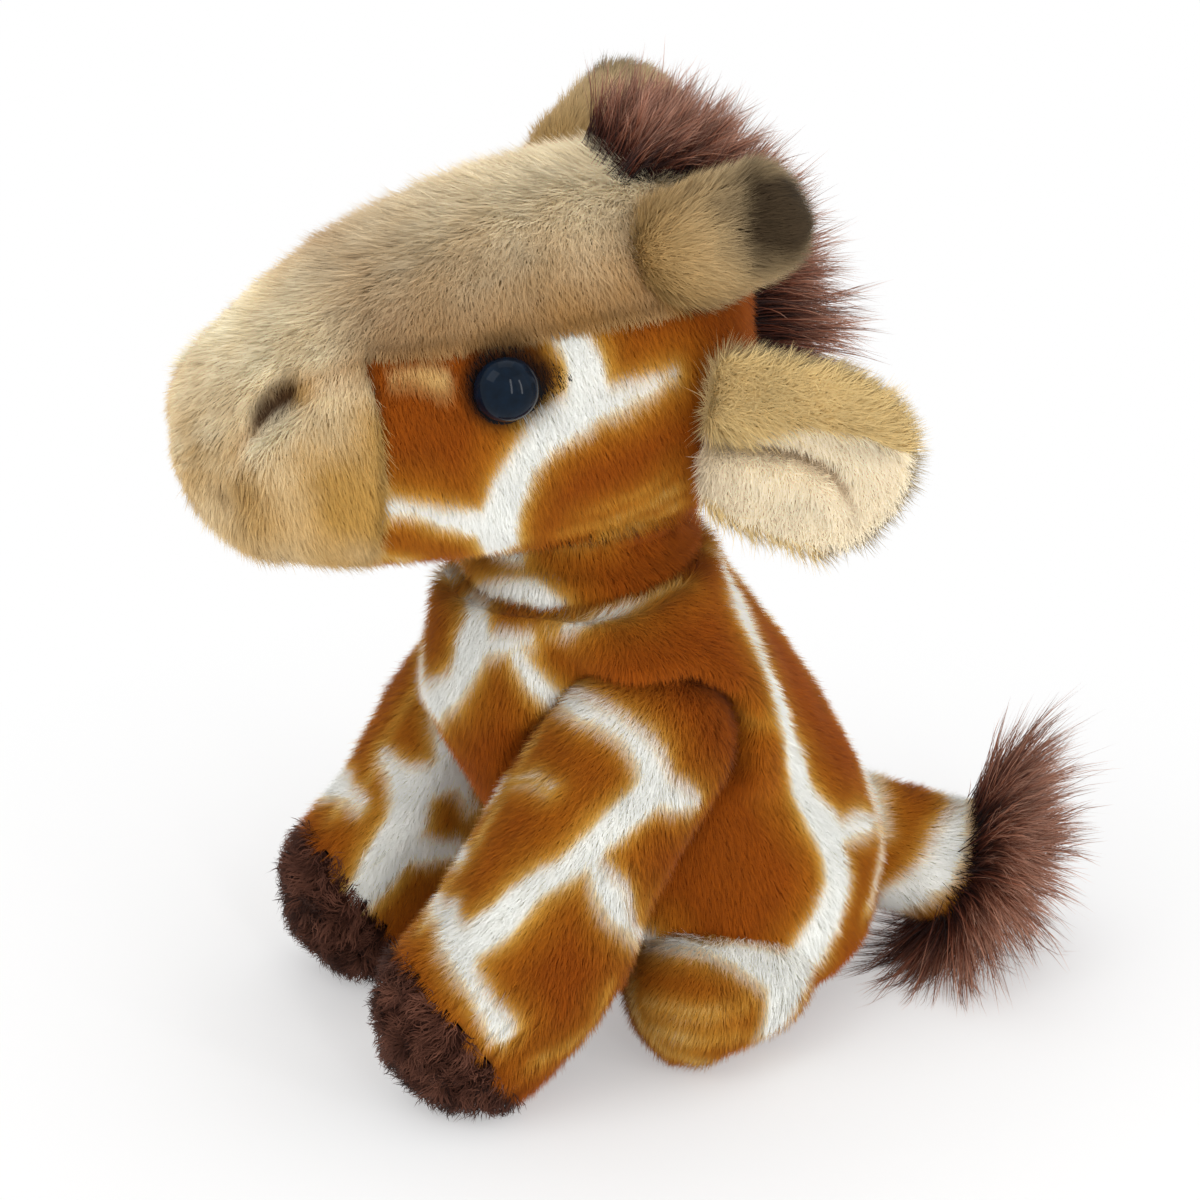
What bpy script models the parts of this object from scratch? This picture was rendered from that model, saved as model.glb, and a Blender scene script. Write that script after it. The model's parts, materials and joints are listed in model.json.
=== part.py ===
"""A sitting plush giraffe, 19 cm tall: sewn panels round stuffing, safety eyes and joints that flex.

The toy faces -Y and its left side is +X. It sits on the floor at Z = 0. Every length is in metres.
"""

import bmesh
import bpy
import numpy as np
from mathutils import Matrix, Vector

# Fabric, seams and clearances
PLUSH = 0.0025
SEAM_GAP = 0.0003
SWING_GAP = 0.0006
FLOOR_CUT = 0.0005

# Trunk, from the seat up to the neck
TRUNK_HEIGHT = 0.1065
TRUNK_WIDTH = 0.076
TRUNK_DEPTH = 0.072
TRUNK_LEAN = 0.030
TRUNK_TOP_Y = -0.009
TRUNK_SEAT_ROUND = 0.016
TRUNK_TOP_ROUND = 0.008
BASE_PANEL_HEIGHT = 0.006
# Rows of height, lean, width and depth, from the seat to the neck
TRUNK_SHARES = (
    (0.00, 0.93, 0.80, 0.77),
    (0.15, 0.93, 0.97, 0.94),
    (0.30, 0.94, 1.00, 1.00),
    (0.46, 0.80, 0.93, 0.95),
    (0.63, 0.53, 0.84, 0.90),
    (0.78, 0.27, 0.76, 0.84),
    (0.91, 0.04, 0.71, 0.78),
    (1.00, 0.00, 0.68, 0.76),
)

# Neck, a stuffed ball that the head turns and nods on
NECK_RADIUS = 0.024
NECK_SINK = 0.0025
NECK_BAND_ABOVE = 0.010
NECK_BAND_BELOW = 0.018
COLLAR_DROP = 0.007
COLLAR_TILT = np.radians(6.5)

# Head, from the nose back to the nape
HEAD_LENGTH = 0.1155
HEAD_WIDTH = 0.068
HEAD_HEIGHT = 0.0735
HEAD_NOSE_Y = -0.0895
HEAD_RISE = 0.001
NOSE_ROUND = 0.014
NAPE_ROUND = 0.022
HEAD_SQUARENESS = 2.4
# Rows of length, underside, top and width, from the nose to the nape
HEAD_SHARES = (
    (0.000, 0.165, 0.530, 0.680),
    (0.088, 0.110, 0.620, 0.800),
    (0.193, 0.062, 0.730, 0.915),
    (0.290, 0.034, 0.820, 0.970),
    (0.421, 0.014, 0.915, 0.990),
    (0.579, 0.000, 0.985, 1.000),
    (0.728, 0.000, 1.010, 1.000),
    (0.860, 0.030, 0.990, 0.950),
    (1.000, 0.100, 0.910, 0.830),
)
# Seams, as shares of the head's height, length and width
FOREHEAD_SEAM_SHARE = 0.721
MUZZLE_TOP_SHARE = 0.680
NOSTRIL_SHARE = 0.571
MOUTH_SHARE = 0.2585
MUZZLE_SEAM_SHARE = 0.268
NOSTRIL_BACK_SHARE = 0.087
NOSE_STRIP_SHARE = 0.50

# Safety eyes, each a dome on a shank with a washer behind the fabric
EYE_DIAMETER = 0.012
EYE_DOME_HEIGHT = 0.0046
EYE_SHANK_DIAMETER = 0.004
EYE_SHANK_LENGTH = 0.013
EYE_BACK_SHARE = 0.4805
EYE_HEIGHT_SHARE = 0.585
EYE_SUNK = 0.0015
EYE_TOE_OUT = np.radians(14.0)
EYE_TILT_UP = np.radians(8.0)
WASHER_DIAMETER = 0.013
WASHER_THICKNESS = 0.0016
WASHER_DEPTH = 0.0040
EYE_PATCH_LENGTH = 0.020
EYE_PATCH_WIDTH = 0.0145
EYE_PATCH_THICKNESS = 0.0008
EYE_PATCH_POINT_SHARE = 0.35
EYE_SEAT_SHARE = 0.62

# Horns, rooted in the head at shares of its half width, length and height
HORN_RADIUS = 0.0130
HORN_TIP_RADIUS = 0.0115
HORN_TIP_ROUND = 0.008
HORN_LENGTH = 0.0372
HORN_SPLAY = np.radians(27.7)
HORN_RISE = np.radians(26.3)
HORN_ROOT_SHARES = (0.574, 0.714, 0.776)

# Ears, each a lined flap that folds about a bead at its root, placed as the horns are
EAR_ROOT_SHARES = (0.985, 0.788, 0.456)
EAR_LENGTH = 0.0435
EAR_HEIGHT = 0.0385
EAR_THICKNESS = 0.013
EAR_SWEEP_BACK = np.radians(47.0)
EAR_DROOP = np.radians(7.0)
EAR_CURL = 0.007
EAR_TIP_ROUND = 0.016
EAR_BEAD_RADIUS = 0.0062
EAR_BEAD_HEIGHT = 0.036
EAR_LINING_SHARE = 0.76
EAR_LINING_LIFT = 0.003
# Rows of length, height and thickness, from the root to the tip
EAR_SHARES = (
    (0.00, 0.86, 0.60),
    (0.30, 0.95, 0.85),
    (0.62, 1.00, 1.00),
    (1.00, 0.86, 0.85),
)

# Mane along the crown and the back of the head
MANE_WIDTH = 0.024
MANE_DEPTH = 0.021
MANE_ROUND = 0.008
MANE_LIFT = 0.006
# Where it fans out from, and rows of how far back and how high it runs, as shares of the head's
# length and height
MANE_HUB_SHARES = (0.78, 0.50)
MANE_SHARES = (
    (0.785, 0.985),
    (0.885, 1.000),
    (0.985, 0.890),
    (1.030, 0.680),
    (1.025, 0.420),
)

# Front legs, each swinging about a shoulder hinge along X
LEG_RADIUS = 0.0195
LEG_APART = 0.056
LEG_INNER_FLAT = 0.0130
SHOULDER_BACK = 0.003
SHOULDER_SHARE = 0.657
FOOT_FORWARD = 0.0365
# How far the knee is forward and down on the way from the shoulder to the foot
KNEE_SHARES = (0.44, 0.45)
CALF_SHARE = 0.55
CALF_BACK = 0.0035
CALF_SWELL = 0.0020
FOOT_WIDTH_SHARE = 0.93
TOE_ROUND_SHARE = 0.9
HOOF_SEAM_PITCH = np.radians(33.0)
HOOF_LENGTH = 0.0165
SOLE_LENGTH = 0.0085
LEG_SWING = np.radians(20.0)
# The room swept by a swinging limb is a squarish form, this share of the limb's own thickness
SWEEP_SHARE = 0.96
SWEEP_SQUARENESS = 3.0
# Where along the limb that form is set out, from behind the hinge to the seam
LEG_SWEEP_SHARES = (-0.25, 0.0, 0.5, 1.0)
TAIL_SWEEP_SHARES = (-0.5, 0.0, 0.5, 1.0)

# Hind legs, short stumps beside the seat
HIND_RADIUS = 0.0155
HIND_OUT = 0.0345
HIND_LENGTH = 0.040
HIND_HEEL_BACK = 0.011
HIND_HEEL_OUT = 0.024
HIND_RISE = 0.002
HIND_TOE_DIP = 0.0015
HIND_TOE_SHARE = 0.8

# Tail and its tuft
TAIL_RADIUS = 0.0140
TAIL_LENGTH = 0.018
TAIL_SUNK = 0.0025
TAIL_HEIGHT = 0.0245
TAIL_SIDEWAYS = np.radians(26.0)
TAIL_DROOP = np.radians(15.0)
TAIL_SWING_LEFT = np.radians(10.0)
TAIL_SWING_RIGHT = np.radians(35.0)
TUFT_LENGTH = 0.026
TUFT_HEIGHT = 0.031
TUFT_WIDTH = 0.028

# Bag of plastic pellets that weights the seat
PELLET_BAG_WIDTH = 0.046
PELLET_BAG_DEPTH = 0.042
PELLET_BAG_HEIGHT = 0.018
PELLET_BAG_ROUND_SHARE = 0.4

# Points closer than this are welded
WELD = 0.000002
# The side of the block that trims pieces flat, larger than the toy
BEYOND = 0.6

# How finely the soft forms are drawn
FINE_TURNS = 24
PLAIN_TURNS = 16
INNER_TURNS = 16

COLOURS = {
    "beige": (0.56, 0.44, 0.27, 1.0),
    "brown_patch": (0.47, 0.16, 0.02, 1.0),
    "golden": (0.62, 0.30, 0.05, 1.0),
    "cream": (0.60, 0.50, 0.36, 1.0),
    "hoof_brown": (0.045, 0.018, 0.014, 1.0),
    "mane_brown": (0.16, 0.06, 0.045, 1.0),
    "eye_black": (0.01, 0.012, 0.016, 1.0),
    "stuffing": (0.85, 0.85, 0.83, 1.0),
    "clear_plastic": (0.80, 0.80, 0.78, 1.0),
}
SHINY = {"eye_black": 0.08, "clear_plastic": 0.35}

ACROSS = Vector((1.0, 0.0, 0.0))
BACKWARD = Vector((0.0, 1.0, 0.0))
UPWARD = Vector((0.0, 0.0, 1.0))


def clear_scene():
    """Empties the file, so that the build starts from nothing."""
    for thing in list(bpy.data.objects):
        bpy.data.objects.remove(thing, do_unlink=True)


def smooth_rows(knots, rows, places):
    """Rows of numbers read at any place along them, through cubic pieces that pass each given row."""
    knots, rows, places = np.asarray(knots), np.asarray(rows, float), np.asarray(places)
    slopes = np.gradient(rows, knots, axis=0)
    left = np.clip(np.searchsorted(knots, places) - 1, 0, len(knots) - 2)
    span = (knots[left + 1] - knots[left])[:, None]
    u = ((places - knots[left])[:, None]) / span
    return (
        rows[left] * (1 + 2 * u) * (1 - u) ** 2
        + slopes[left] * span * u * (1 - u) ** 2
        + rows[left + 1] * u**2 * (3 - 2 * u)
        + slopes[left + 1] * span * u**2 * (u - 1)
    )


def new_object(name, shape):
    """A scene object that takes over a bmesh."""
    mesh = bpy.data.meshes.new(name)
    shape.to_mesh(mesh)
    shape.free()
    thing = bpy.data.objects.new(name, mesh)
    bpy.context.scene.collection.objects.link(thing)
    return thing


def soft_form(name, stations, ends, wide, tall=None, squareness=2.0, turns=PLAIN_TURNS,
              rings=7, cap_rings=4, grow=0.0):
    """A stuffed form: a sphere stretched along a spine, swelling and tapering with its stations.

    Each station is a point with its half width and half height. The ends are rounded off over the
    two given lengths, and grow moves the whole skin out, or in where it is negative.
    """
    points = np.array([tuple(station[0]) for station in stations])
    halves = np.array([station[1:] for station in stations])
    run = np.concatenate([[0.0], np.cumsum(np.linalg.norm(np.diff(points, axis=0), axis=1))])
    first, last = ends[0] + grow, ends[1] + grow
    cap = 1 - np.cos(np.linspace(0, np.pi / 2, cap_rings + 1)[1:])
    middle = np.linspace(first - grow, run[-1] - last + grow, rings + 1)[1:-1]
    places = np.concatenate([first * cap - grow, middle, run[-1] + grow - last * cap[::-1]])
    places = np.concatenate([[-grow], places, [run[-1] + grow]])
    from_start = np.clip(1 - (places + grow) / first, 0, 1)
    from_end = np.clip(1 - (run[-1] + grow - places) / last, 0, 1)
    fullness = np.sqrt(np.clip(1 - from_start**2, 0, 1) * np.clip(1 - from_end**2, 0, 1))
    inside = np.clip(places, 0, run[-1])
    centre = smooth_rows(run, points, inside)
    half = smooth_rows(run, halves, inside) + grow
    step = run[-1] / len(places) / 10
    ahead = smooth_rows(run, points, np.clip(inside + step, 0, run[-1]))
    behind = smooth_rows(run, points, np.clip(inside - step, 0, run[-1]))
    tangent = (ahead - behind) / np.linalg.norm(ahead - behind, axis=1)[:, None]
    centre = centre + (places - inside)[:, None] * tangent
    wide = np.array(wide)
    tall = np.cross(tangent, wide) if tall is None else np.tile(np.array(tall), (len(places), 1))
    tall = tall / np.linalg.norm(tall, axis=1)[:, None]

    shape = bmesh.new()
    bmesh.ops.create_uvsphere(shape, u_segments=turns, v_segments=len(places) - 1, radius=1)
    for corner in shape.verts:
        row = round(np.arccos(np.clip(corner.co.z, -1, 1)) / np.pi * (len(places) - 1))
        angle = np.arctan2(corner.co.y, corner.co.x)
        across = np.sign(np.cos(angle)) * abs(np.cos(angle)) ** (2 / squareness)
        upward = np.sign(np.sin(angle)) * abs(np.sin(angle)) ** (2 / squareness)
        corner.co = Vector(
            centre[row]
            + wide * across * half[row, 0] * fullness[row]
            + tall[row] * upward * half[row, 1] * fullness[row]
        )
    shape.normal_update()
    bmesh.ops.recalc_face_normals(shape, faces=shape.faces)
    return new_object(name, shape)


def ball(name, centre, radius, turns=FINE_TURNS):
    """A sphere with its poles up and down."""
    shape = bmesh.new()
    bmesh.ops.create_uvsphere(shape, u_segments=turns, v_segments=turns // 2, radius=radius)
    bmesh.ops.translate(shape, verts=shape.verts, vec=centre)
    return new_object(name, shape)


def block(name, low, high):
    """A box between two corners."""
    shape = bmesh.new()
    bmesh.ops.create_cube(shape, size=1)
    size = Vector(high) - Vector(low)
    middle = (Vector(high) + Vector(low)) / 2
    bmesh.ops.transform(shape, verts=shape.verts, matrix=Matrix.Diagonal((*size, 1)))
    bmesh.ops.translate(shape, verts=shape.verts, vec=middle)
    return new_object(name, shape)


def side_block(name, outline, half_width):
    """A prism across the toy: an outline in Y and Z, drawn out to both sides of the middle."""
    shape = bmesh.new()
    flat = [shape.verts.new((-half_width, y, z)) for y, z in outline]
    face = shape.faces.new(flat)
    drawn = bmesh.ops.extrude_face_region(shape, geom=[face])
    moved = [part for part in drawn["geom"] if isinstance(part, bmesh.types.BMVert)]
    bmesh.ops.translate(shape, verts=moved, vec=ACROSS * 2 * half_width)
    shape.normal_update()
    bmesh.ops.recalc_face_normals(shape, faces=shape.faces)
    return new_object(name, shape)


def turned(name, outline, turns=PLAIN_TURNS):
    """A turned solid: an outline of radius and height, spun about Z by a Screw modifier."""
    shape = bmesh.new()
    points = [shape.verts.new((radius, 0, height)) for radius, height in outline]
    for above, below in zip(points, points[1:]):
        shape.edges.new((above, below))
    thing = new_object(name, shape)
    spin = thing.modifiers.new("spin", "SCREW")
    spin.steps = spin.render_steps = turns
    spin.use_merge_vertices = True
    spin.merge_threshold = WELD
    freeze(thing)
    return thing


def freeze(thing):
    """Keeps what the modifiers make as the object's own closed mesh."""
    view = bpy.context.evaluated_depsgraph_get()
    made = bpy.data.meshes.new_from_object(thing.evaluated_get(view))
    old = thing.data
    thing.modifiers.clear()
    thing.data = made
    bpy.data.meshes.remove(old)
    shape = bmesh.new()
    shape.from_mesh(made)
    bmesh.ops.remove_doubles(shape, verts=shape.verts, dist=WELD)
    shape.to_mesh(made)
    shape.free()


def carve(thing, tool, operation="DIFFERENCE", keep_tool=False):
    """Cuts a piece with a tool, or joins or crosses the two."""
    cut = thing.modifiers.new("cut", "BOOLEAN")
    cut.operation = operation
    cut.solver = "EXACT"
    cut.object = tool
    freeze(thing)
    if not keep_tool:
        bpy.data.objects.remove(tool, do_unlink=True)
    return thing


def trim(thing, point, outward):
    """Cuts a piece flat: what lies beyond the plane on its outward side goes."""
    shape = bmesh.new()
    bmesh.ops.create_cube(shape, size=BEYOND)
    bmesh.ops.translate(shape, verts=shape.verts, vec=UPWARD * BEYOND / 2)
    turn = Vector(outward).to_track_quat("Z", "Y").to_matrix().to_4x4()
    bmesh.ops.transform(shape, verts=shape.verts, matrix=Matrix.Translation(point) @ turn)
    return carve(thing, new_object("beyond", shape))


def copied(thing, name):
    """A second object with a mesh of its own."""
    twin = bpy.data.objects.new(name, thing.data.copy())
    bpy.context.scene.collection.objects.link(twin)
    return twin


def moved(thing, matrix):
    """Moves the mesh itself, with its object left where it is."""
    thing.data.transform(matrix)
    return thing


def mirrored(thing, name):
    """The same piece for the toy's other side."""
    twin = copied(thing, name)
    twin.data.transform(Matrix.Diagonal((-1, 1, 1, 1)))
    twin.data.flip_normals()
    return twin


def turn_about(point, axis, angle):
    """A turn about a line through a point."""
    there = Matrix.Translation(point)
    return there @ Matrix.Rotation(angle, 4, axis) @ there.inverted()


def finish(thing, colour, pivot=None):
    """Gives a piece its material and smooth shading, and sets its origin on its joint."""
    material = bpy.data.materials.get(colour) or bpy.data.materials.new(colour)
    material.use_nodes = True
    shader = material.node_tree.nodes["Principled BSDF"]
    shader.inputs["Base Color"].default_value = COLOURS[colour]
    shader.inputs["Roughness"].default_value = SHINY.get(colour, 0.9)
    shader.inputs["Metallic"].default_value = 0.0
    thing.data.materials.clear()
    thing.data.materials.append(material)
    thing.data.shade_smooth()
    thing.data.set_sharp_from_angle(angle=np.radians(50))
    if pivot is not None:
        thing.data.transform(Matrix.Translation(-pivot))
        thing.location = pivot
    pieces.append(thing)
    return thing


# The pieces that make up the toy, in the order in which they are finished
pieces = []


def trunk_stations():
    """Points and half sizes of the trunk, from the seat to the neck."""
    rows = []
    for height, lean, width, depth in TRUNK_SHARES:
        place = Vector((0, TRUNK_TOP_Y + lean * TRUNK_LEAN, height * TRUNK_HEIGHT - FLOOR_CUT))
        rows.append((place, width * TRUNK_WIDTH / 2, depth * TRUNK_DEPTH / 2))
    return rows


def trunk_form(name, grow=0.0, turns=FINE_TURNS):
    """The trunk's pear, cut flat where it sits."""
    ends = (TRUNK_SEAT_ROUND, TRUNK_TOP_ROUND)
    form = soft_form(
        name, trunk_stations(), ends, ACROSS, BACKWARD, turns=turns, rings=8, grow=grow
    )
    return trim(form, Vector((0, 0, -min(grow, 0.0))), -UPWARD)


def head_stations():
    """Points and half sizes of the head, from the nose to the nape."""
    rows = []
    for length, underside, top, width in HEAD_SHARES:
        place = in_head(0, length, (underside + top) / 2)
        rows.append((place, width * HEAD_WIDTH / 2, (top - underside) / 2 * HEAD_HEIGHT))
    return rows


def in_head(out, back, high):
    """A point at shares of the head's half width, length from the nose and height."""
    floor = neck_centre().z + HEAD_RISE
    along = HEAD_NOSE_Y + back * HEAD_LENGTH
    return Vector((out * HEAD_WIDTH / 2, along, floor + high * HEAD_HEIGHT))


def head_form(name, grow=0.0, turns=FINE_TURNS):
    """The head's wedge with its broad muzzle."""
    return soft_form(
        name, head_stations(), (NOSE_ROUND, NAPE_ROUND), ACROSS, UPWARD,
        HEAD_SQUARENESS, turns=turns, rings=9, grow=grow,
    )


def neck_centre():
    """The point that the head turns and nods about."""
    return Vector((0, TRUNK_TOP_Y, TRUNK_HEIGHT - NECK_SINK))


def collar_plane():
    """The tilted plane where the trunk ends round the neck: a point on it and its upward side."""
    upward = Vector((0, -np.sin(COLLAR_TILT), np.cos(COLLAR_TILT)))
    return neck_centre() - upward * COLLAR_DROP, upward


def shoulder():
    """The left shoulder's hinge point."""
    height = SHOULDER_SHARE * TRUNK_HEIGHT
    return Vector((LEG_APART / 2, TRUNK_TOP_Y + SHOULDER_BACK, height))


def foot():
    """The middle of the left front foot, one leg radius above the floor cut."""
    forward = TRUNK_TOP_Y + SHOULDER_BACK - FOOT_FORWARD
    return Vector((LEG_APART / 2, forward, LEG_RADIUS - FLOOR_CUT))


def leg_stations():
    """Points and half sizes of the left front leg, from above the shoulder to the toe."""
    way = foot() - shoulder()
    knee = shoulder() + Vector((0, KNEE_SHARES[0] * way.y, KNEE_SHARES[1] * way.z))
    over = (shoulder() - knee).normalized() * LEG_RADIUS
    toe = Vector((0, -np.cos(HOOF_SEAM_PITCH), -np.sin(HOOF_SEAM_PITCH))) * LEG_RADIUS
    reach = ((foot() - knee).normalized() * LEG_RADIUS + toe) / 2
    calf = knee.lerp(foot(), CALF_SHARE) + BACKWARD * CALF_BACK
    swell = LEG_RADIUS + CALF_SWELL
    return [
        (shoulder() + over, LEG_RADIUS, LEG_RADIUS),
        (shoulder(), LEG_RADIUS, LEG_RADIUS),
        (knee, LEG_RADIUS, LEG_RADIUS),
        (calf, LEG_RADIUS, swell),
        (foot() + BACKWARD * CALF_BACK / 2, LEG_RADIUS * FOOT_WIDTH_SHARE, swell),
        (foot() + reach, LEG_RADIUS * FOOT_WIDTH_SHARE, LEG_RADIUS),
    ]


def leg_tube(name, grow=0.0, turns=FINE_TURNS):
    """The left front leg as a bent sausage with round ends."""
    ends = (LEG_RADIUS, LEG_RADIUS * TOE_ROUND_SHARE)
    return soft_form(name, leg_stations(), ends, ACROSS, turns=turns, rings=6, grow=grow)


def leg_form(name, grow=0.0, turns=FINE_TURNS):
    """The left front leg, flattened where it lies against the chest."""
    return trim(leg_tube(name, grow, turns), Vector((LEG_INNER_FLAT - grow, 0, 0)), -ACROSS)


def hoof_plane(forward=0.0):
    """The seam plane of the left hoof, moved towards the toe: a point on it and its toe side."""
    toe_side = Vector((0, -np.cos(HOOF_SEAM_PITCH), -np.sin(HOOF_SEAM_PITCH)))
    toe_point = foot() + toe_side * LEG_RADIUS
    return toe_point + toe_side * (forward - HOOF_LENGTH), toe_side


def leg_room(name, grow=SWING_GAP):
    """What the left front leg fills at rest and sweeps as it lifts, as a cutter for the trunk."""
    half_swing = LEG_SWING / 2
    run = (foot() - shoulder()).length
    lifted = turn_about(shoulder(), ACROSS, -half_swing)
    rows = []
    for share in LEG_SWEEP_SHARES:
        ahead = max(share, 0.0)
        place = lifted @ shoulder().lerp(foot(), share)
        thick = (LEG_RADIUS + ahead * CALF_SWELL) / np.cos(half_swing)
        tall = thick + ahead * run * np.tan(half_swing)
        rows.append((place, LEG_RADIUS * SWEEP_SHARE, tall))
    ends = (LEG_RADIUS / 2, LEG_RADIUS / 2)
    fan = soft_form("fan", rows, ends, ACROSS, None, SWEEP_SQUARENESS, rings=3, grow=grow)
    room = carve(leg_tube(name, grow), fan, "UNION")
    return trim(room, Vector((LEG_INNER_FLAT - grow, 0, 0)), -ACROSS)


def tail_root():
    """The middle of the tail's ball, sunk a little into the trunk's back."""
    back = TRUNK_TOP_Y + TRUNK_SHARES[2][1] * TRUNK_LEAN + TRUNK_DEPTH / 2 - TAIL_SUNK
    return Vector((0, back, TAIL_HEIGHT))


def tail_direction(swung=0.0):
    """Where the tail points: back, a little to the toy's left and down, or swung from there."""
    sideways = TAIL_SIDEWAYS - swung
    level = Vector((np.sin(sideways), np.cos(sideways), 0))
    return (level * np.cos(TAIL_DROOP) - UPWARD * np.sin(TAIL_DROOP)).normalized()


def tail_across(swung=0.0):
    """The level direction across the tail."""
    return tail_direction(swung).cross(UPWARD).normalized()


def tail_form(name, grow=0.0):
    """The tail as one stuffed sausage, its root end a ball about the root."""
    along = tail_direction()
    start = tail_root() - along * TAIL_RADIUS
    length = TAIL_LENGTH + TAIL_RADIUS * 2
    rows = [
        (start + along * share * length, TAIL_RADIUS, TAIL_RADIUS) for share in (0, 0.5, 1)
    ]
    ends = (TAIL_RADIUS, TAIL_RADIUS / 2)
    return soft_form(name, rows, ends, tail_across(), rings=3, grow=grow)


def tail_room(name, grow=SWING_GAP):
    """What the tail fills at rest and sweeps from side to side, as a cutter for the trunk."""
    half_swing = (TAIL_SWING_RIGHT + TAIL_SWING_LEFT) / 2
    middle = (TAIL_SWING_RIGHT - TAIL_SWING_LEFT) / 2
    rows = []
    for share in TAIL_SWEEP_SHARES:
        widened = max(share, 0.0) * TAIL_LENGTH * np.tan(half_swing)
        wide = TAIL_RADIUS / np.cos(half_swing) + widened
        place = tail_root() + tail_direction(middle) * share * TAIL_LENGTH
        rows.append((place, wide, TAIL_RADIUS * SWEEP_SHARE))
    ends = (TAIL_RADIUS / 2, TAIL_RADIUS / 2)
    fan = soft_form("fan", rows, ends, tail_across(middle), None, SWEEP_SQUARENESS, rings=3,
                    grow=grow)
    return carve(tail_form(name, grow), fan, "UNION")


def rooms_in_trunk(grow):
    """Cutters for what moves against the trunk: both front legs, the tail and the neck's ball."""
    leg = leg_room("leg room", grow)
    other = mirrored(leg, "other leg room")
    neck = ball("neck room", neck_centre(), NECK_RADIUS + grow)
    return leg, other, tail_room("tail room", grow), neck


def build_trunk():
    """Side panels, base panel, stuffing and the pellet bag."""
    rim, above = collar_plane()
    lining = trunk_form("lining", -PLUSH, INNER_TURNS)
    filling = trunk_form("body_stuffing", -PLUSH - SEAM_GAP, INNER_TURNS)
    trim(filling, rim - above * PLUSH, above)
    for form, grow in ((lining, PLUSH), (filling, PLUSH + SEAM_GAP)):
        *swinging, neck = rooms_in_trunk(SWING_GAP + grow)
        for cutter in swinging:
            carve(form, cutter)
        bpy.data.objects.remove(neck, do_unlink=True)
    carve(filling, ball("neck room", neck_centre(), NECK_RADIUS + SWING_GAP))

    skin = trim(trunk_form("skin"), rim, above)
    carve(skin, lining)
    for cutter in rooms_in_trunk(SWING_GAP):
        carve(skin, cutter)
    base = trim(copied(skin, "base_panel"), Vector((0, 0, BASE_PANEL_HEIGHT)), UPWARD)
    trim(skin, Vector((0, 0, BASE_PANEL_HEIGHT + SEAM_GAP)), -UPWARD)
    left = trim(copied(skin, "body_panel_left"), Vector((SEAM_GAP / 2, 0, 0)), -ACROSS)
    right = trim(skin, Vector((-SEAM_GAP / 2, 0, 0)), ACROSS)
    right.name = "body_panel_right"

    bag_height = PLUSH + SEAM_GAP * 2 + PELLET_BAG_HEIGHT / 2
    bag_centre = Vector((0, TRUNK_TOP_Y + TRUNK_LEAN * TRUNK_SHARES[0][1], bag_height))
    bag_sizes = [
        (bag_centre + ACROSS * share * PELLET_BAG_WIDTH / 2, PELLET_BAG_DEPTH / 2,
         PELLET_BAG_HEIGHT / 2)
        for share in (-1, 0, 1)
    ]
    bag_round = PELLET_BAG_WIDTH * PELLET_BAG_ROUND_SHARE
    bag_shape = (bag_sizes, (bag_round, bag_round), BACKWARD, UPWARD)
    bag = soft_form("pellet_bag", *bag_shape, rings=3)
    carve(filling, soft_form("bag room", *bag_shape, rings=3, grow=SEAM_GAP))
    finish(left, "brown_patch")
    finish(right, "brown_patch")
    finish(base, "golden")
    finish(filling, "stuffing")
    finish(bag, "clear_plastic")


def build_neck():
    """The printed neck tube and the ball of stuffing in it."""
    centre = neck_centre()
    tube = ball("neck_panel", centre, NECK_RADIUS)
    carve(tube, ball("neck bore", centre, NECK_RADIUS - PLUSH, INNER_TURNS))
    trim(tube, centre + UPWARD * NECK_BAND_ABOVE, UPWARD)
    trim(tube, centre - UPWARD * NECK_BAND_BELOW, -UPWARD)
    wad = ball("neck_stuffing", centre, NECK_RADIUS - PLUSH - SEAM_GAP, INNER_TURNS)
    finish(tube, "brown_patch", centre)
    finish(wad, "stuffing", centre)


def forehead_tool(name, clearance=0.0):
    """Crosses the head's skin to leave the strip over its top and down the front of the nose."""
    far = HEAD_LENGTH * 2
    seam = in_head(0, 1, FOREHEAD_SEAM_SHARE).z - clearance
    muzzle_top = in_head(0, MUZZLE_SEAM_SHARE, MUZZLE_TOP_SHARE) - UPWARD * clearance
    nostril = in_head(0, NOSTRIL_BACK_SHARE, NOSTRIL_SHARE) - UPWARD * clearance
    mouth = in_head(0, 0, MOUTH_SHARE) - UPWARD * clearance
    front = nostril.y - far
    outline = (
        (far, seam),
        (neck_centre().y, seam),
        (muzzle_top.y, muzzle_top.z),
        (nostril.y, nostril.z),
        (front, nostril.z),
        (front, far),
        (far, far),
    )
    strip = side_block(name, outline, far)
    half = NOSE_STRIP_SHARE * HEAD_WIDTH / 2 + clearance
    low = (-half, front, mouth.z)
    high = (half, nostril.y * 2 - HEAD_NOSE_Y, seam)
    return carve(strip, block("nose strip", low, high), "UNION")


def eye_frame():
    """Turns a piece built along Z, with the fabric at height zero, to the left eye's place."""
    outward = Vector((np.cos(EYE_TOE_OUT) * np.cos(EYE_TILT_UP),
                      -np.sin(EYE_TOE_OUT) * np.cos(EYE_TILT_UP),
                      np.sin(EYE_TILT_UP)))
    place = in_head(1, EYE_BACK_SHARE, EYE_HEIGHT_SHARE) - ACROSS * EYE_SUNK
    return Matrix.Translation(place) @ outward.to_track_quat("Z", "Y").to_matrix().to_4x4()


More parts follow.
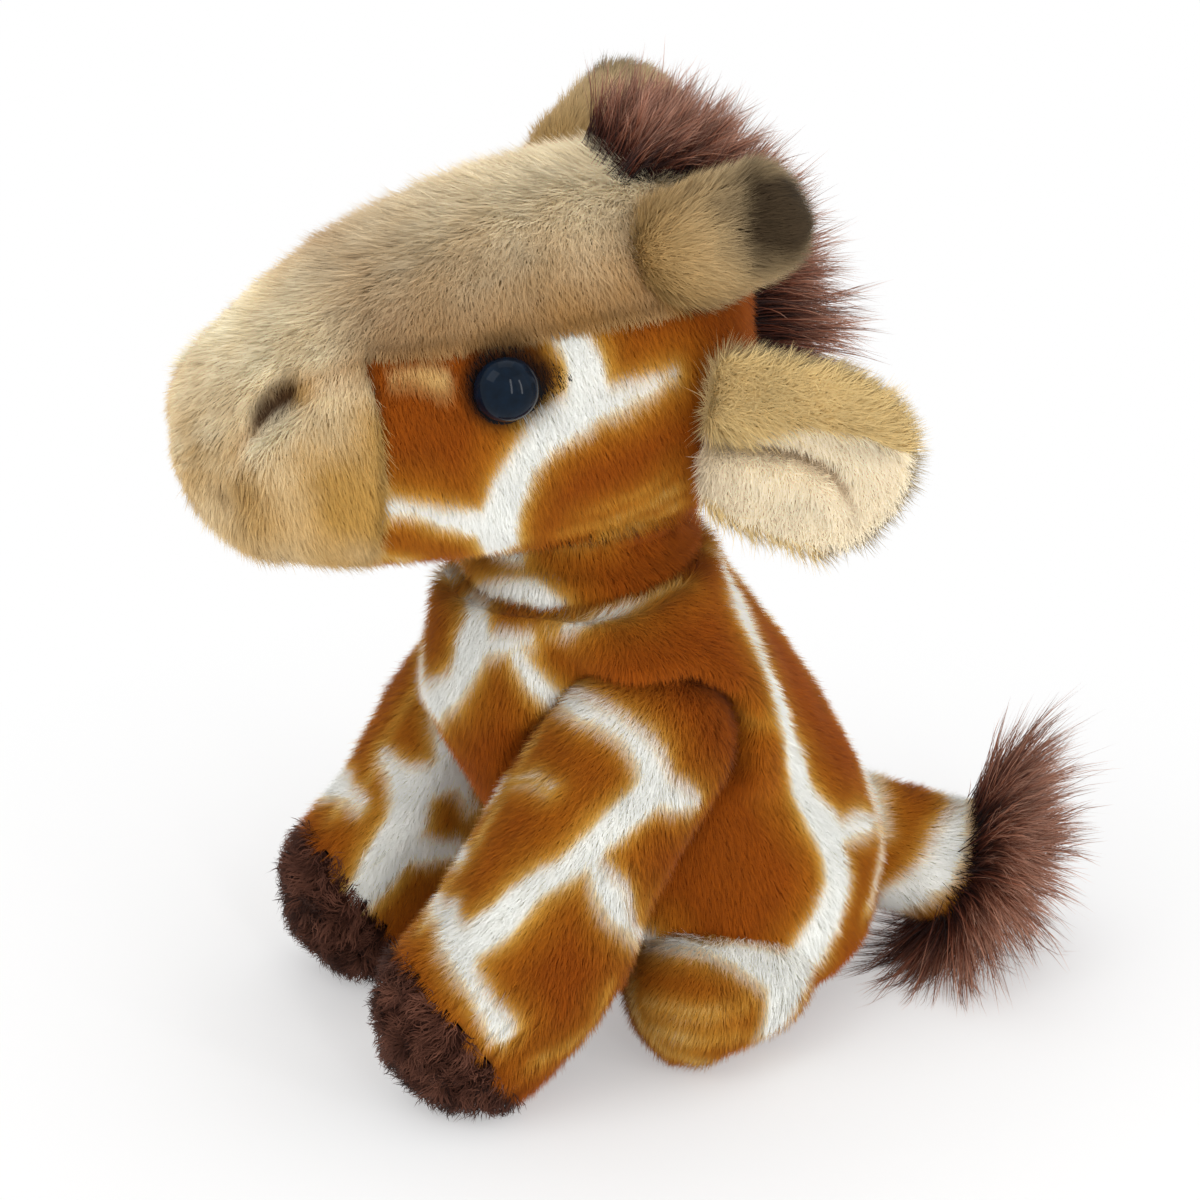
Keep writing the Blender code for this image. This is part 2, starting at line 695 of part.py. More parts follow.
def eye_room(name):
    """Flat seat, shank hole and washer pocket of both eyes."""
    seat_radius = EYE_PATCH_LENGTH * EYE_SEAT_SHARE
    shank_radius = EYE_SHANK_DIAMETER / 2 + SEAM_GAP
    pocket_radius = WASHER_DIAMETER / 2 + SEAM_GAP
    top, bottom = EYE_DIAMETER, -EYE_SHANK_LENGTH - SEAM_GAP * 2
    pocket_top = SEAM_GAP - WASHER_DEPTH
    pocket_bottom = -WASHER_DEPTH - WASHER_THICKNESS - SEAM_GAP
    outline = (
        (0, top), (seat_radius, top), (seat_radius, 0), (shank_radius, 0),
        (shank_radius, pocket_top), (pocket_radius, pocket_top),
        (pocket_radius, pocket_bottom), (shank_radius, pocket_bottom),
        (shank_radius, bottom), (0, bottom),
    )
    left = moved(turned(name, outline), eye_frame())
    return carve(left, mirrored(left, "other " + name), "UNION")


def ear_room():
    """The grooves in the head that the ears' root beads lie in."""
    left = ear_bead("ear room", SWING_GAP)
    return carve(left, mirrored(left, "other ear room"), "UNION")


def ear_bead(name, grow=0.0):
    """The gathered seam at the ear's root, an upright bead with rounded ends."""
    half = EAR_BEAD_HEIGHT / 2
    rows = [
        (in_head(*EAR_ROOT_SHARES) + UPWARD * share * half, EAR_BEAD_RADIUS, EAR_BEAD_RADIUS)
        for share in (-1, 0, 1)
    ]
    ends = (EAR_BEAD_RADIUS, EAR_BEAD_RADIUS)
    return soft_form(name, rows, ends, ACROSS, rings=2, cap_rings=3, grow=grow)


def build_head():
    """Forehead, muzzle and face panels round the head's stuffing."""
    neck = ball("neck room", neck_centre(), NECK_RADIUS + SWING_GAP)
    eyes = eye_room("eye room")
    ears = ear_room()

    def opened(form):
        for tool in (neck, eyes, ears):
            carve(form, tool, keep_tool=True)
        return form

    skin = head_form("skin")
    carve(skin, head_form("lining", -PLUSH, INNER_TURNS))
    opened(skin)
    forehead = copied(skin, "forehead_panel")
    carve(forehead, forehead_tool("forehead"), "INTERSECT")
    carve(skin, forehead_tool("forehead", SEAM_GAP))
    muzzle_back = in_head(0, MUZZLE_SEAM_SHARE, 0) - BACKWARD * SEAM_GAP / 2
    face_front = in_head(0, MUZZLE_SEAM_SHARE, 0) + BACKWARD * SEAM_GAP / 2
    for side, sign in (("left", 1), ("right", -1)):
        middle = Vector((sign * SEAM_GAP / 2, 0, 0))
        half = trim(copied(skin, "half skin"), middle, -sign * ACROSS)
        face = trim(copied(half, "face_panel_" + side), face_front, -BACKWARD)
        half.name = "muzzle_panel_" + side
        trim(half, muzzle_back, BACKWARD)
        finish(face, "brown_patch", neck_centre())
        finish(half, "beige", neck_centre())
    bpy.data.objects.remove(skin, do_unlink=True)

    filling = head_form("head_stuffing", -PLUSH - SEAM_GAP, INNER_TURNS)
    opened(filling)
    for cutter in (neck, eyes, ears):
        bpy.data.objects.remove(cutter, do_unlink=True)
    finish(forehead, "beige", neck_centre())
    finish(filling, "stuffing", neck_centre())


def build_eyes():
    """Domes on shanks, the felt patches under them and the washers that lock them."""
    radius, shank = EYE_DIAMETER / 2, EYE_SHANK_DIAMETER / 2
    seat = EYE_PATCH_THICKNESS + SEAM_GAP * 2
    dome = [
        (radius * np.sin(angle), seat + EYE_DOME_HEIGHT * np.cos(angle))
        for angle in np.linspace(0, np.pi / 2, 8)
    ]
    outline = dome + [(shank, seat), (shank, -EYE_SHANK_LENGTH), (0, -EYE_SHANK_LENGTH)]
    bore = shank + SEAM_GAP
    washer_low, washer_high = -WASHER_DEPTH - WASHER_THICKNESS, -WASHER_DEPTH
    ring = (
        (bore, washer_high), (WASHER_DIAMETER / 2, washer_high),
        (WASHER_DIAMETER / 2, washer_low), (bore, washer_low), (bore, washer_high),
    )
    for side in ("left", "right"):
        made = (
            (turned("eye_" + side, outline), "eye_black"),
            (eye_patch("eye_patch_" + side), "eye_black"),
            (turned("eye_washer_" + side, ring), "clear_plastic"),
        )
        for piece, colour in made:
            moved(piece, eye_frame())
            if side == "right":
                piece.data.transform(Matrix.Diagonal((-1, 1, 1, 1)))
                piece.data.flip_normals()
            finish(piece, colour, neck_centre())


def eye_patch(name):
    """The almond of black felt under the eye, with its corner to the rear."""
    low, high = SEAM_GAP, SEAM_GAP + EYE_PATCH_THICKNESS
    patch = turned(name, ((0, high), (EYE_PATCH_WIDTH / 2, high), (EYE_PATCH_WIDTH / 2, low),
                          (0, low)), FINE_TURNS)
    corner = EYE_PATCH_LENGTH - EYE_PATCH_WIDTH / 2
    for point in patch.data.vertices:
        rear = max(point.co.x, 0) / (EYE_PATCH_WIDTH / 2)
        point.co.x += rear**3 * (corner - EYE_PATCH_WIDTH / 2)
        point.co.y *= 1 - EYE_PATCH_POINT_SHARE * rear**2
    bore = EYE_SHANK_DIAMETER / 2 + SEAM_GAP
    hole = turned("hole", ((0, high * 2), (bore, high * 2), (bore, -high), (0, -high)))
    return carve(patch, hole)


def horn_form(name, grow=0.0):
    """The left horn, blunt and leaning back, with its root inside the head."""
    root = in_head(*HORN_ROOT_SHARES)
    level = Vector((np.sin(HORN_SPLAY), np.cos(HORN_SPLAY), 0))
    along = level * np.cos(HORN_RISE) + UPWARD * np.sin(HORN_RISE)
    rows = [
        (root, HORN_RADIUS, HORN_RADIUS),
        (root + along * HORN_LENGTH / 2, HORN_RADIUS, HORN_RADIUS),
        (root + along * HORN_LENGTH, HORN_TIP_RADIUS, HORN_TIP_RADIUS),
    ]
    across = along.cross(UPWARD).normalized()
    return soft_form(name, rows, (HORN_RADIUS, HORN_TIP_ROUND), across, rings=4, grow=grow)


def build_horns():
    """Two horns seated on the crown."""
    horn = carve(horn_form("horn_left"), head_form("head room", SEAM_GAP))
    finish(mirrored(horn, "horn_right"), "beige", neck_centre())
    finish(horn, "beige", neck_centre())


def ear_matrix():
    """Lays a flap built along Y, with its lining up, out from the left ear's root."""
    along = Vector((np.cos(EAR_SWEEP_BACK), np.sin(EAR_SWEEP_BACK), 0))
    along = (along * np.cos(EAR_DROOP) - UPWARD * np.sin(EAR_DROOP)).normalized()
    front = along.cross(UPWARD).normalized()
    height = front.cross(along)
    turn = Matrix((-height, along, front)).transposed().to_4x4()
    return Matrix.Translation(in_head(*EAR_ROOT_SHARES)) @ turn


def ear_flap(name, size_share=1.0, lift=0.0, grow=0.0):
    """A curled leaf laid out from the left ear's root; the lining is a smaller leaf, lifted."""
    middle = BACKWARD * EAR_LENGTH / 2
    rows = []
    for length, height, thick in EAR_SHARES:
        place = middle + (BACKWARD * length * EAR_LENGTH - middle) * size_share + UPWARD * lift
        half_height = height * size_share * EAR_HEIGHT / 2
        rows.append((place, half_height, thick * size_share * EAR_THICKNESS / 2))
    ends = (EAR_BEAD_RADIUS, EAR_TIP_ROUND)
    leaf = soft_form(name, rows, ends, ACROSS, UPWARD, rings=5, grow=grow)
    for point in leaf.data.vertices:
        share = point.co.x / (EAR_HEIGHT / 2)
        point.co.z += EAR_CURL * share**2
    return moved(leaf, ear_matrix())


def build_ears():
    """Furry ear backs with their short-pile linings, each on a bead in the head's side."""
    back = ear_flap("ear_left")
    carve(back, head_form("head room", SWING_GAP))
    carve(back, ear_bead("bead"), "UNION")
    carve(back, ear_flap("lining room", EAR_LINING_SHARE, EAR_LINING_LIFT, SEAM_GAP))
    lining = ear_flap("ear_lining_left", EAR_LINING_SHARE, EAR_LINING_LIFT)
    root = in_head(*EAR_ROOT_SHARES)
    other_root = Vector((-root.x, root.y, root.z))
    for piece, colour in ((back, "beige"), (lining, "cream")):
        other_name = piece.name.replace("left", "right")
        finish(mirrored(piece, other_name), colour, other_root)
        finish(piece, colour, root)


def build_mane():
    """The strip of long hair over the crown and down the nape."""
    rows = []
    hub = in_head(0, *MANE_HUB_SHARES)
    for back, high in MANE_SHARES:
        place = in_head(0, back, high)
        place += (place - hub).normalized() * MANE_LIFT
        rows.append((place, MANE_WIDTH / 2, MANE_DEPTH / 2))
    mane = soft_form("mane", rows, (MANE_ROUND, MANE_ROUND), ACROSS)
    carve(mane, head_form("head room", SEAM_GAP))
    horn = horn_form("horn room", SEAM_GAP)
    carve(mane, mirrored(horn, "other horn room"))
    carve(mane, horn)
    finish(mane, "mane_brown", neck_centre())


def build_front_legs():
    """Legs with their stuffing, dark hooves and soles."""
    seam, toe_side = hoof_plane()
    sole_seam, _ = hoof_plane(HOOF_LENGTH - SOLE_LENGTH)
    whole = trim(leg_form("leg"), Vector((0, 0, 0)), -UPWARD)
    skin = trim(copied(whole, "leg_left"), seam, toe_side)
    carve(skin, leg_form("leg lining", -PLUSH, INNER_TURNS))
    filling = leg_form("leg_stuffing_left", -PLUSH - SEAM_GAP, INNER_TURNS)
    trim(filling, seam, toe_side)
    hoof = trim(copied(whole, "hoof_left"), seam + toe_side * SEAM_GAP, -toe_side)
    trim(hoof, sole_seam, toe_side)
    sole = trim(whole, sole_seam + toe_side * SEAM_GAP, -toe_side)
    sole.name = "sole_left"
    made = ((skin, "golden"), (filling, "stuffing"), (hoof, "hoof_brown"), (sole, "hoof_brown"))
    pivot = shoulder()
    other_pivot = Vector((-pivot.x, pivot.y, pivot.z))
    for piece, colour in made:
        finish(mirrored(piece, piece.name.replace("left", "right")), colour, other_pivot)
        finish(piece, colour, pivot)


def build_hind_legs():
    """Short stumps beside the seat, cut by the trunk they are sewn to and by the front legs."""
    heel_y = TRUNK_TOP_Y + TRUNK_SHARES[0][1] * TRUNK_LEAN + HIND_HEEL_BACK
    toe = Vector((HIND_OUT, heel_y - HIND_LENGTH, HIND_RADIUS - HIND_TOE_DIP))
    rows = [
        (Vector((HIND_HEEL_OUT, heel_y, HIND_RADIUS + HIND_RISE)), HIND_RADIUS, HIND_RADIUS),
        (toe, HIND_RADIUS, HIND_RADIUS),
    ]
    across = (rows[1][0] - rows[0][0]).cross(UPWARD).normalized()
    ends = (HIND_RADIUS, HIND_RADIUS * HIND_TOE_SHARE)
    stump = soft_form("hind_leg_left", rows, ends, across, rings=4)
    trim(stump, Vector((0, 0, 0)), -UPWARD)
    carve(stump, trunk_form("trunk room", SEAM_GAP))
    carve(stump, leg_tube("front leg room", SWING_GAP))
    finish(mirrored(stump, "hind_leg_right"), "golden")
    finish(stump, "golden")


def build_tail():
    """The stuffed tail on its swinging root, and the long-haired tuft at its end."""
    tail = tail_form("tail")
    along = tail_direction()
    seam = tail_root() + along * TAIL_LENGTH
    trim(tail, seam, along)
    start = seam + along * SEAM_GAP
    lift = UPWARD * max(0.0, TUFT_HEIGHT / 2 + SEAM_GAP - start.z)
    rows = [
        (start, TAIL_RADIUS, TAIL_RADIUS),
        (start + along * TUFT_LENGTH / 2 + lift, TUFT_WIDTH / 2, TUFT_HEIGHT / 2),
        (start + along * TUFT_LENGTH + lift, TUFT_WIDTH / 2, TUFT_HEIGHT / 2),
    ]
    ends = (TUFT_LENGTH / 8, TUFT_LENGTH / 2)
    tuft = soft_form("tail_tuft", rows, ends, tail_across(), rings=4)
    trim(tuft, start, -along)
    trim(tuft, Vector((0, 0, 0)), -UPWARD)
    finish(tail, "golden", tail_root())
    finish(tuft, "mane_brown", tail_root())


def stand_toy():
    """Puts the pieces in one collection, under an empty that centres the toy over its origin."""
    bpy.context.view_layer.update()
    corners = [thing.matrix_world @ Vector(c) for thing in pieces for c in thing.bound_box]
    middle_y = (max(c.y for c in corners) + min(c.y for c in corners)) / 2
    stand = bpy.data.objects.new("stand", None)
    stand.location = (0, -middle_y, 0)
    home = bpy.data.collections.new("plush_giraffe")
    bpy.context.scene.collection.children.link(home)
    home.objects.link(stand)
    for thing in pieces:
        bpy.context.scene.collection.objects.unlink(thing)
        home.objects.link(thing)
        thing.parent = stand
    print("set back by", round(-middle_y, 6))
    hinges = {
        "neck": neck_centre(),
        "shoulder": shoulder(),
        "ear": in_head(*EAR_ROOT_SHARES),
        "tail": tail_root(),
    }
    for name, point in hinges.items():
        print(name, [round(v, 6) for v in point - BACKWARD * middle_y])


clear_scene()
build_trunk()
build_neck()
build_head()
build_eyes()
build_horns()
build_ears()
build_mane()
build_front_legs()
build_hind_legs()
build_tail()
stand_toy()
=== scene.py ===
# %% [markdown]
# # A sitting plush giraffe
# A plush toy is a set of stuffed bags with hair on the outside. This lesson dresses the packed
# solids of such a toy: each stuffed form becomes a swollen skin, and on the skin grows a pile of
# single fibres, most of them one thin triangle each. The print of the patches and the dark horn
# tips are dyed into the fibres one by one, which gives them their soft edges, and so is painted
# light and shade: shade in the nostrils, creases and seams and round the eyes, and light where
# the beige pile faces up.
# Everything is placed from the imported frame, so the dressed toy stays where its solids are.

# %% Load the imported frame
import json

import bmesh
import bpy
import numpy as np
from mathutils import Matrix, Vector
from mathutils.bvhtree import BVHTree


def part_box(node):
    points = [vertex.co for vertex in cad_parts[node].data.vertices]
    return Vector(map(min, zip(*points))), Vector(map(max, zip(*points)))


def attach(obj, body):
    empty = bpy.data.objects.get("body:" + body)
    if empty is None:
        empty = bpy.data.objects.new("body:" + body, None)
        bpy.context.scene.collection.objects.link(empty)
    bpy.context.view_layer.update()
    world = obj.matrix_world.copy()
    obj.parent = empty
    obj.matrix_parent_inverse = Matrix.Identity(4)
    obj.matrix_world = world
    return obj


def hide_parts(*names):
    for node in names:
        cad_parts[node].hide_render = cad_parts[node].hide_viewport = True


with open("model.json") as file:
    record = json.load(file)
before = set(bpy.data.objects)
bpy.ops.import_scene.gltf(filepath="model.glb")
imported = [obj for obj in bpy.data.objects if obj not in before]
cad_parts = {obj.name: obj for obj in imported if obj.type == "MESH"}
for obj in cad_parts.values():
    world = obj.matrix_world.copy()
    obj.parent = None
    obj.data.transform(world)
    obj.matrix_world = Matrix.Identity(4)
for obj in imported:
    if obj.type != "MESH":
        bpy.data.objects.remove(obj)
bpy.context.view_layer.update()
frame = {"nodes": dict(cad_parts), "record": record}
hinges = {j["name"]: np.array(j["pos_m"]) for j in frame["record"]["behaviour"]["joints"]}
NECK, SHOULDER = hinges["neck_turn"], hinges["leg_lift_left"]
EAR, TAIL = hinges["ear_fold_left"], hinges["tail_swing"]
ACROSS, BACKWARD, UPWARD = np.eye(3)
SIDES = (("left", 1), ("right", -1))
MM = 0.001

# %% [markdown]
# The camera stands where the photographer stood: 68 degrees round from the toy's front, 25
# degrees up and 0.9 m away, with a long lens. The toy's middle is aimed at the middle of the
# picture. A pixel of the 1200 by 1200 picture is then a ray from the camera, and that is how the
# lines of the printed pattern are laid on the toy further down.

# %% Camera
AZIMUTH, ELEVATION = np.radians(68.0), np.radians(25.0)
DISTANCE, SENSOR, LENS, PICTURE = 0.9, 36.0, 141.7, 1200
AIM = np.array([0.01525, NECK[1] - 0.001, 0.095])
to_camera = np.array([
    np.sin(AZIMUTH) * np.cos(ELEVATION),
    -np.cos(AZIMUTH) * np.cos(ELEVATION),
    np.sin(ELEVATION),
])
to_right = np.array([np.cos(AZIMUTH), np.sin(AZIMUTH), 0.0])
to_top = np.cross(to_camera, to_right)
eye_point = AIM + to_camera * DISTANCE


def add_piece(name, data):
    """Links an object with this mesh, camera or lamp data to the scene."""
    piece = bpy.data.objects.new(name, data)
    bpy.context.scene.collection.objects.link(piece)
    return piece


def aim_from(thing, place, way):
    """Puts a camera or lamp at a place, looking along a direction."""
    thing.location, thing.rotation_mode = place, "QUATERNION"
    thing.rotation_quaternion = Vector(way).to_track_quat("-Z", "Y")


camera = add_piece("camera", bpy.data.cameras.new("camera"))
camera.data.sensor_width, camera.data.lens = SENSOR, LENS
aim_from(camera, eye_point, -to_camera)
bpy.context.scene.camera = camera
bpy.context.scene.view_settings.view_transform = "Standard"


def rays_through(pixels):
    """Directions from the camera through pixels: the lens length back, the offsets right and up."""
    pixels = np.asarray(pixels, float)
    lens_pixels = PICTURE * LENS / SENSOR
    aside = pixels[:, 0:1] - PICTURE / 2
    above = PICTURE / 2 - pixels[:, 1:2]
    way = -to_camera * lens_pixels + to_right * aside + to_top * above
    return way / np.linalg.norm(way, axis=1)[:, None]


print("camera at", np.round(eye_point, 3).tolist())

# %% [markdown]
# The stuffed forms are lofts: a closed cross-section is carried along a spine and swells and
# tapers with it, and its ends are rounded off. The tables of widths are the toy's own, the same
# that its solids are built from. Two parameters run over each form, one along the spine and one
# round it, so a whole form is worked out as one array.


# %% Lofting a stuffed form
CAP_RINGS, SLOPE_STEPS = 9, 200


def unit(vectors):
    """Vectors over their own lengths."""
    return vectors / np.maximum(np.linalg.norm(vectors, axis=-1, keepdims=True), 1e-12)


def clamped(values):
    """Values kept between 0 and 1."""
    return np.clip(values, 0, 1)


def bell(off, width):
    """A hump: e to the minus (off / width) squared."""
    return np.exp(-((off / width) ** 2))


def run_along(points):
    """Distance along a line of points, from its first one."""
    steps = np.linalg.norm(np.diff(points, axis=0), axis=1)
    return np.concatenate([[0.0], np.cumsum(steps)])


def smooth_rows(knots, rows, places):
    """Rows read anywhere between their knots: cubic pieces through each row with its slope."""
    knots, rows, places = np.asarray(knots), np.asarray(rows, float), np.asarray(places)
    slopes = np.gradient(rows, knots, axis=0)
    left = np.clip(np.searchsorted(knots, places) - 1, 0, len(knots) - 2)
    span = (knots[left + 1] - knots[left])[:, None]
    u = (places - knots[left])[:, None] / span
    return (
        rows[left] * (1 + 2 * u) * (1 - u) ** 2
        + slopes[left] * span * u * (1 - u) ** 2
        + rows[left + 1] * u**2 * (3 - 2 * u)
        + slopes[left + 1] * span * u**2 * (u - 1)
    )


def stuffed_grid(rows, ends, wide, tall=None, squareness=2.0, grow=0.0, rings=30, turns=56):
    """Grid of a stuffed form, rings by turns.

    A point is the spine at u plus wide * c * w(u) * f(u) plus tall * s * h(u) * f(u). c and s are
    the cosine and sine of the angle, to the power 2 / squareness, w and h are the half sizes, and
    f rounds the ends off as a circle does. Each row is x, y, z, half width, half height.
    """
    rows = np.asarray(rows, float)
    spine, halves = rows[:, :3], rows[:, 3:]
    run = run_along(spine)
    first, last = ends[0] + grow, ends[1] + grow
    cap = 1 - np.cos(np.linspace(0, np.pi / 2, CAP_RINGS)[1:])
    middle = np.linspace(first - grow, run[-1] - last + grow, rings)[1:-1]
    places = np.concatenate([
        [-grow], first * cap - grow, middle, run[-1] + grow - last * cap[::-1], [run[-1] + grow]
    ])
    from_start = clamped(1 - (places + grow) / first)
    from_end = clamped(1 - (run[-1] + grow - places) / last)
    full = np.sqrt(clamped(1 - from_start**2) * clamped(1 - from_end**2))
    inside = np.clip(places, 0, run[-1])
    centre, half = smooth_rows(run, spine, inside), smooth_rows(run, halves, inside) + grow
    step = run[-1] / SLOPE_STEPS
    ahead = smooth_rows(run, spine, np.clip(inside + step, 0, run[-1]))
    along = unit(ahead - smooth_rows(run, spine, np.clip(inside - step, 0, run[-1])))
    centre = centre + (places - inside)[:, None] * along
    wide = np.broadcast_to(wide, along.shape)
    tall = unit(np.cross(along, wide)) if tall is None else np.broadcast_to(tall, along.shape)
    angle = np.linspace(0, 2 * np.pi, turns, endpoint=False)
    cosine, sine = (
        np.sign(wave) * abs(wave) ** (2 / squareness) for wave in (np.cos(angle), np.sin(angle))
    )
    return (
        centre[:, None]
        + wide[:, None] * cosine[None, :, None] * (half[:, 0] * full)[:, None, None]
        + tall[:, None] * sine[None, :, None] * (half[:, 1] * full)[:, None, None]
    )


def grid_faces(rings, turns):
    """Faces of a closed grid: quads between the rings, fans of triangles at the poles."""
    ring, turn = np.meshgrid(np.arange(rings - 3), np.arange(turns), indexing="ij")
    here, next_turn = 1 + ring * turns + turn, 1 + ring * turns + (turn + 1) % turns
    quads = np.stack([here, next_turn, next_turn + turns, here + turns], -1).reshape(-1, 4)
    around, last = np.arange(turns), 1 + (rings - 3) * turns
    south = np.stack([0 * around, 1 + (around + 1) % turns, 1 + around], -1)
    north = np.stack([0 * around + last + turns, last + around, last + (around + 1) % turns], -1)
    return quads.tolist() + south.tolist() + north.tolist()


def loft(name, grid):
    """A closed form from its grid, whose first and last rings shrink to a pole each.

    Its faces are turned so that they point outwards.
    """
    rings, turns, _ = grid.shape
    points = np.concatenate([grid[0, :1], grid[1:-1].reshape(-1, 3), grid[-1, :1]])
    mesh = bpy.data.meshes.new(name)
    mesh.from_pydata(points.tolist(), [], grid_faces(rings, turns))
    shape = bmesh.new()
    shape.from_mesh(mesh)
    if shape.calc_volume(signed=True) < 0:
        bmesh.ops.reverse_faces(shape, faces=shape.faces)
    shape.to_mesh(mesh)
    shape.free()
    mesh.shade_smooth()
    return add_piece(name, mesh)


def read_vectors(mesh, field):
    """One vector a point of the mesh, as an array."""
    flat = np.empty(len(mesh.vertices) * 3, np.float32)
    mesh.vertices.foreach_get(field, flat)
    return flat.reshape(-1, 3).astype(float)


def places_of(mesh):
    """The mesh's points as an array."""
    return read_vectors(mesh, "co")


def normals_of(mesh):
    """The mesh's normals at its points as an array."""
    return read_vectors(mesh, "normal")


def put_places(mesh, points):
    """Moves the mesh's points to these places."""
    mesh.vertices.foreach_set("co", np.asarray(points, np.float32).ravel())
    mesh.update()


print("lofting tools ready")

# %% [markdown]
# The toy's measures follow. Lengths are in metres and shares are of the head's or trunk's own
# sizes. The skin, which is the knitted back of the plush, lies under the outline of the solids
# by the height of the pile that stands on it.

# %% Measures of the forms
SKIN_DEPTH = 2.3 * MM
NECK_RADIUS, COLLAR_DROP, COLLAR_TILT = 24 * MM, 7 * MM, np.radians(6.5)
TRUNK_HEIGHT, TRUNK_WIDTH, TRUNK_DEPTH, TRUNK_LEAN = 0.1065, 0.076, 0.072, 0.030
# Shares up the trunk: height, lean, width, depth
TRUNK_SHARES = (
    (0.00, 0.93, 0.80, 0.77), (0.15, 0.93, 0.97, 0.94), (0.30, 0.94, 1.00, 1.00),
    (0.46, 0.80, 0.93, 0.95), (0.63, 0.53, 0.84, 0.90), (0.78, 0.27, 0.76, 0.84),
    (0.91, 0.04, 0.71, 0.78), (1.00, 0.00, 0.68, 0.76),
)
CHEST_HEIGHTS = np.array([18, 32, 49, 64, 75, 84, 93, 99]) * MM
CHEST_SWELLS = np.array([0, 4, 10, 13, 14, 10, 4, 0]) * MM
HEAD_LENGTH, HEAD_WIDTH, HEAD_HEIGHT = 0.1155, 0.068, 0.0735
HEAD_NOSE, HEAD_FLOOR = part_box("forehead_panel")[0].y, NECK[2] + 1 * MM
# Shares along the head: length back, lower edge, upper edge, width
HEAD_SHARES = (
    (0.000, 0.165, 0.530, 0.680), (0.088, 0.110, 0.620, 0.800), (0.193, 0.062, 0.730, 0.915),
    (0.290, 0.034, 0.820, 0.970), (0.421, 0.014, 0.915, 0.990), (0.579, 0.000, 0.985, 1.000),
    (0.728, 0.000, 1.010, 1.000), (0.860, 0.030, 0.990, 0.950), (1.000, 0.100, 0.910, 0.830),
)
LEG_RADIUS, LEG_INNER_FLAT, CALF_BACK, CALF_SWELL = 19.5 * MM, 13 * MM, 3.5 * MM, 2 * MM
FOOT = SHOULDER + (0, -0.0365, LEG_RADIUS - 0.5 * MM - SHOULDER[2])
HOOF_PITCH, HOOF_LENGTH, SOLE_LENGTH = np.radians(33.0), 16.5 * MM, 8.5 * MM
toe_way = np.array([0, -np.cos(HOOF_PITCH), -np.sin(HOOF_PITCH)])
HIND_RADIUS = 0.0155
TAIL_RADIUS, TAIL_LENGTH = 14 * MM, 18 * MM
TAIL_SIDEWAYS, TAIL_DROOP = np.radians(26.0), np.radians(15.0)


def in_head(out, back, high):
    """A point at shares of the head's half width, its length from the nose, and its height."""
    return np.array([
        out * HEAD_WIDTH / 2, HEAD_NOSE + back * HEAD_LENGTH, HEAD_FLOOR + high * HEAD_HEIGHT
    ])


def leaning(aside, climb):
    """A direction from straight back: turned aside by one angle, then raised by another."""
    return np.array([
        np.sin(aside) * np.cos(climb), np.cos(aside) * np.cos(climb), np.sin(climb)
    ])


HORN_ROOT, HORN_LENGTH = in_head(0.574, 0.714, 0.776), 0.0372
horn_way = leaning(np.radians(27.7), np.radians(26.3))
tail_way = leaning(TAIL_SIDEWAYS, -TAIL_DROOP)
tail_across = unit(np.cross(tail_way, UPWARD))


def trunk_grid():
    """The pear that sits: its rows run from the seat up to the neck.

    Ahead of the spine it swells to a chest: y less the swell at that height times the square of
    how far forward the point is.
    """
    rows = [
        (0, NECK[1] + lean * TRUNK_LEAN, high * TRUNK_HEIGHT - 0.5 * MM,
         width * TRUNK_WIDTH / 2, deep * TRUNK_DEPTH / 2)
        for high, lean, width, deep in TRUNK_SHARES
    ]
    grid = stuffed_grid(rows, (0.016, 0.008), ACROSS, BACKWARD, grow=-SKIN_DEPTH,
                        rings=34, turns=72)
    middle = np.interp(grid[..., 2], [row[2] for row in rows], [row[1] for row in rows])
    forward = clamped((middle - grid[..., 1]) / (TRUNK_DEPTH * 0.42))
    grid[..., 1] -= forward**2 * np.interp(grid[..., 2], CHEST_HEIGHTS, CHEST_SWELLS)
    return grid


def head_grid():
    """The wedge with a broad muzzle: its rows run from the nose back to the nape."""
    rows = [
        (*in_head(0, back, (low + top) / 2), wide * HEAD_WIDTH / 2, (top - low) / 2 * HEAD_HEIGHT)
        for back, low, top, wide in HEAD_SHARES
    ]
    return stuffed_grid(rows, (0.014, 0.022), ACROSS, UPWARD, 2.4, grow=-SKIN_DEPTH,
                        rings=34, turns=72)


def leg_grid():
    """A sausage bent at the knee and at the foot, whose toe points forward and down."""
    knee = SHOULDER + (FOOT - SHOULDER) * (0, 0.44, 0.45)
    calf = knee + (FOOT - knee) * 0.55 + BACKWARD * CALF_BACK
    swell, foot_width = LEG_RADIUS + CALF_SWELL, LEG_RADIUS * 0.93
    end = FOOT + (unit(FOOT - knee) * LEG_RADIUS + toe_way * LEG_RADIUS) / 2
    rows = [
        (*(SHOULDER + unit(SHOULDER - knee) * LEG_RADIUS), LEG_RADIUS, LEG_RADIUS),
        (*SHOULDER, LEG_RADIUS, LEG_RADIUS),
        (*knee, LEG_RADIUS, LEG_RADIUS),
        (*calf, LEG_RADIUS, swell),
        (*(FOOT + BACKWARD * CALF_BACK / 2), foot_width, swell),
        (*end, foot_width, LEG_RADIUS),
    ]
    return stuffed_grid(rows, (LEG_RADIUS, LEG_RADIUS * 0.9), ACROSS, grow=-SKIN_DEPTH,
                        rings=26, turns=48)


def hind_grid():
    """A short stump beside the seat, its toe turned a little out."""
    heel_y = NECK[1] + 0.93 * TRUNK_LEAN + 0.011
    rows = [
        (0.024, heel_y, 0.0175, HIND_RADIUS, HIND_RADIUS),
        (0.0345, heel_y - 0.040, 0.0140, HIND_RADIUS, HIND_RADIUS),
    ]
    across = unit(np.cross(np.subtract(rows[1][:3], rows[0][:3]), UPWARD))
    return stuffed_grid(rows, (HIND_RADIUS, 0.0124), across, grow=-SKIN_DEPTH,
                        rings=14, turns=40)


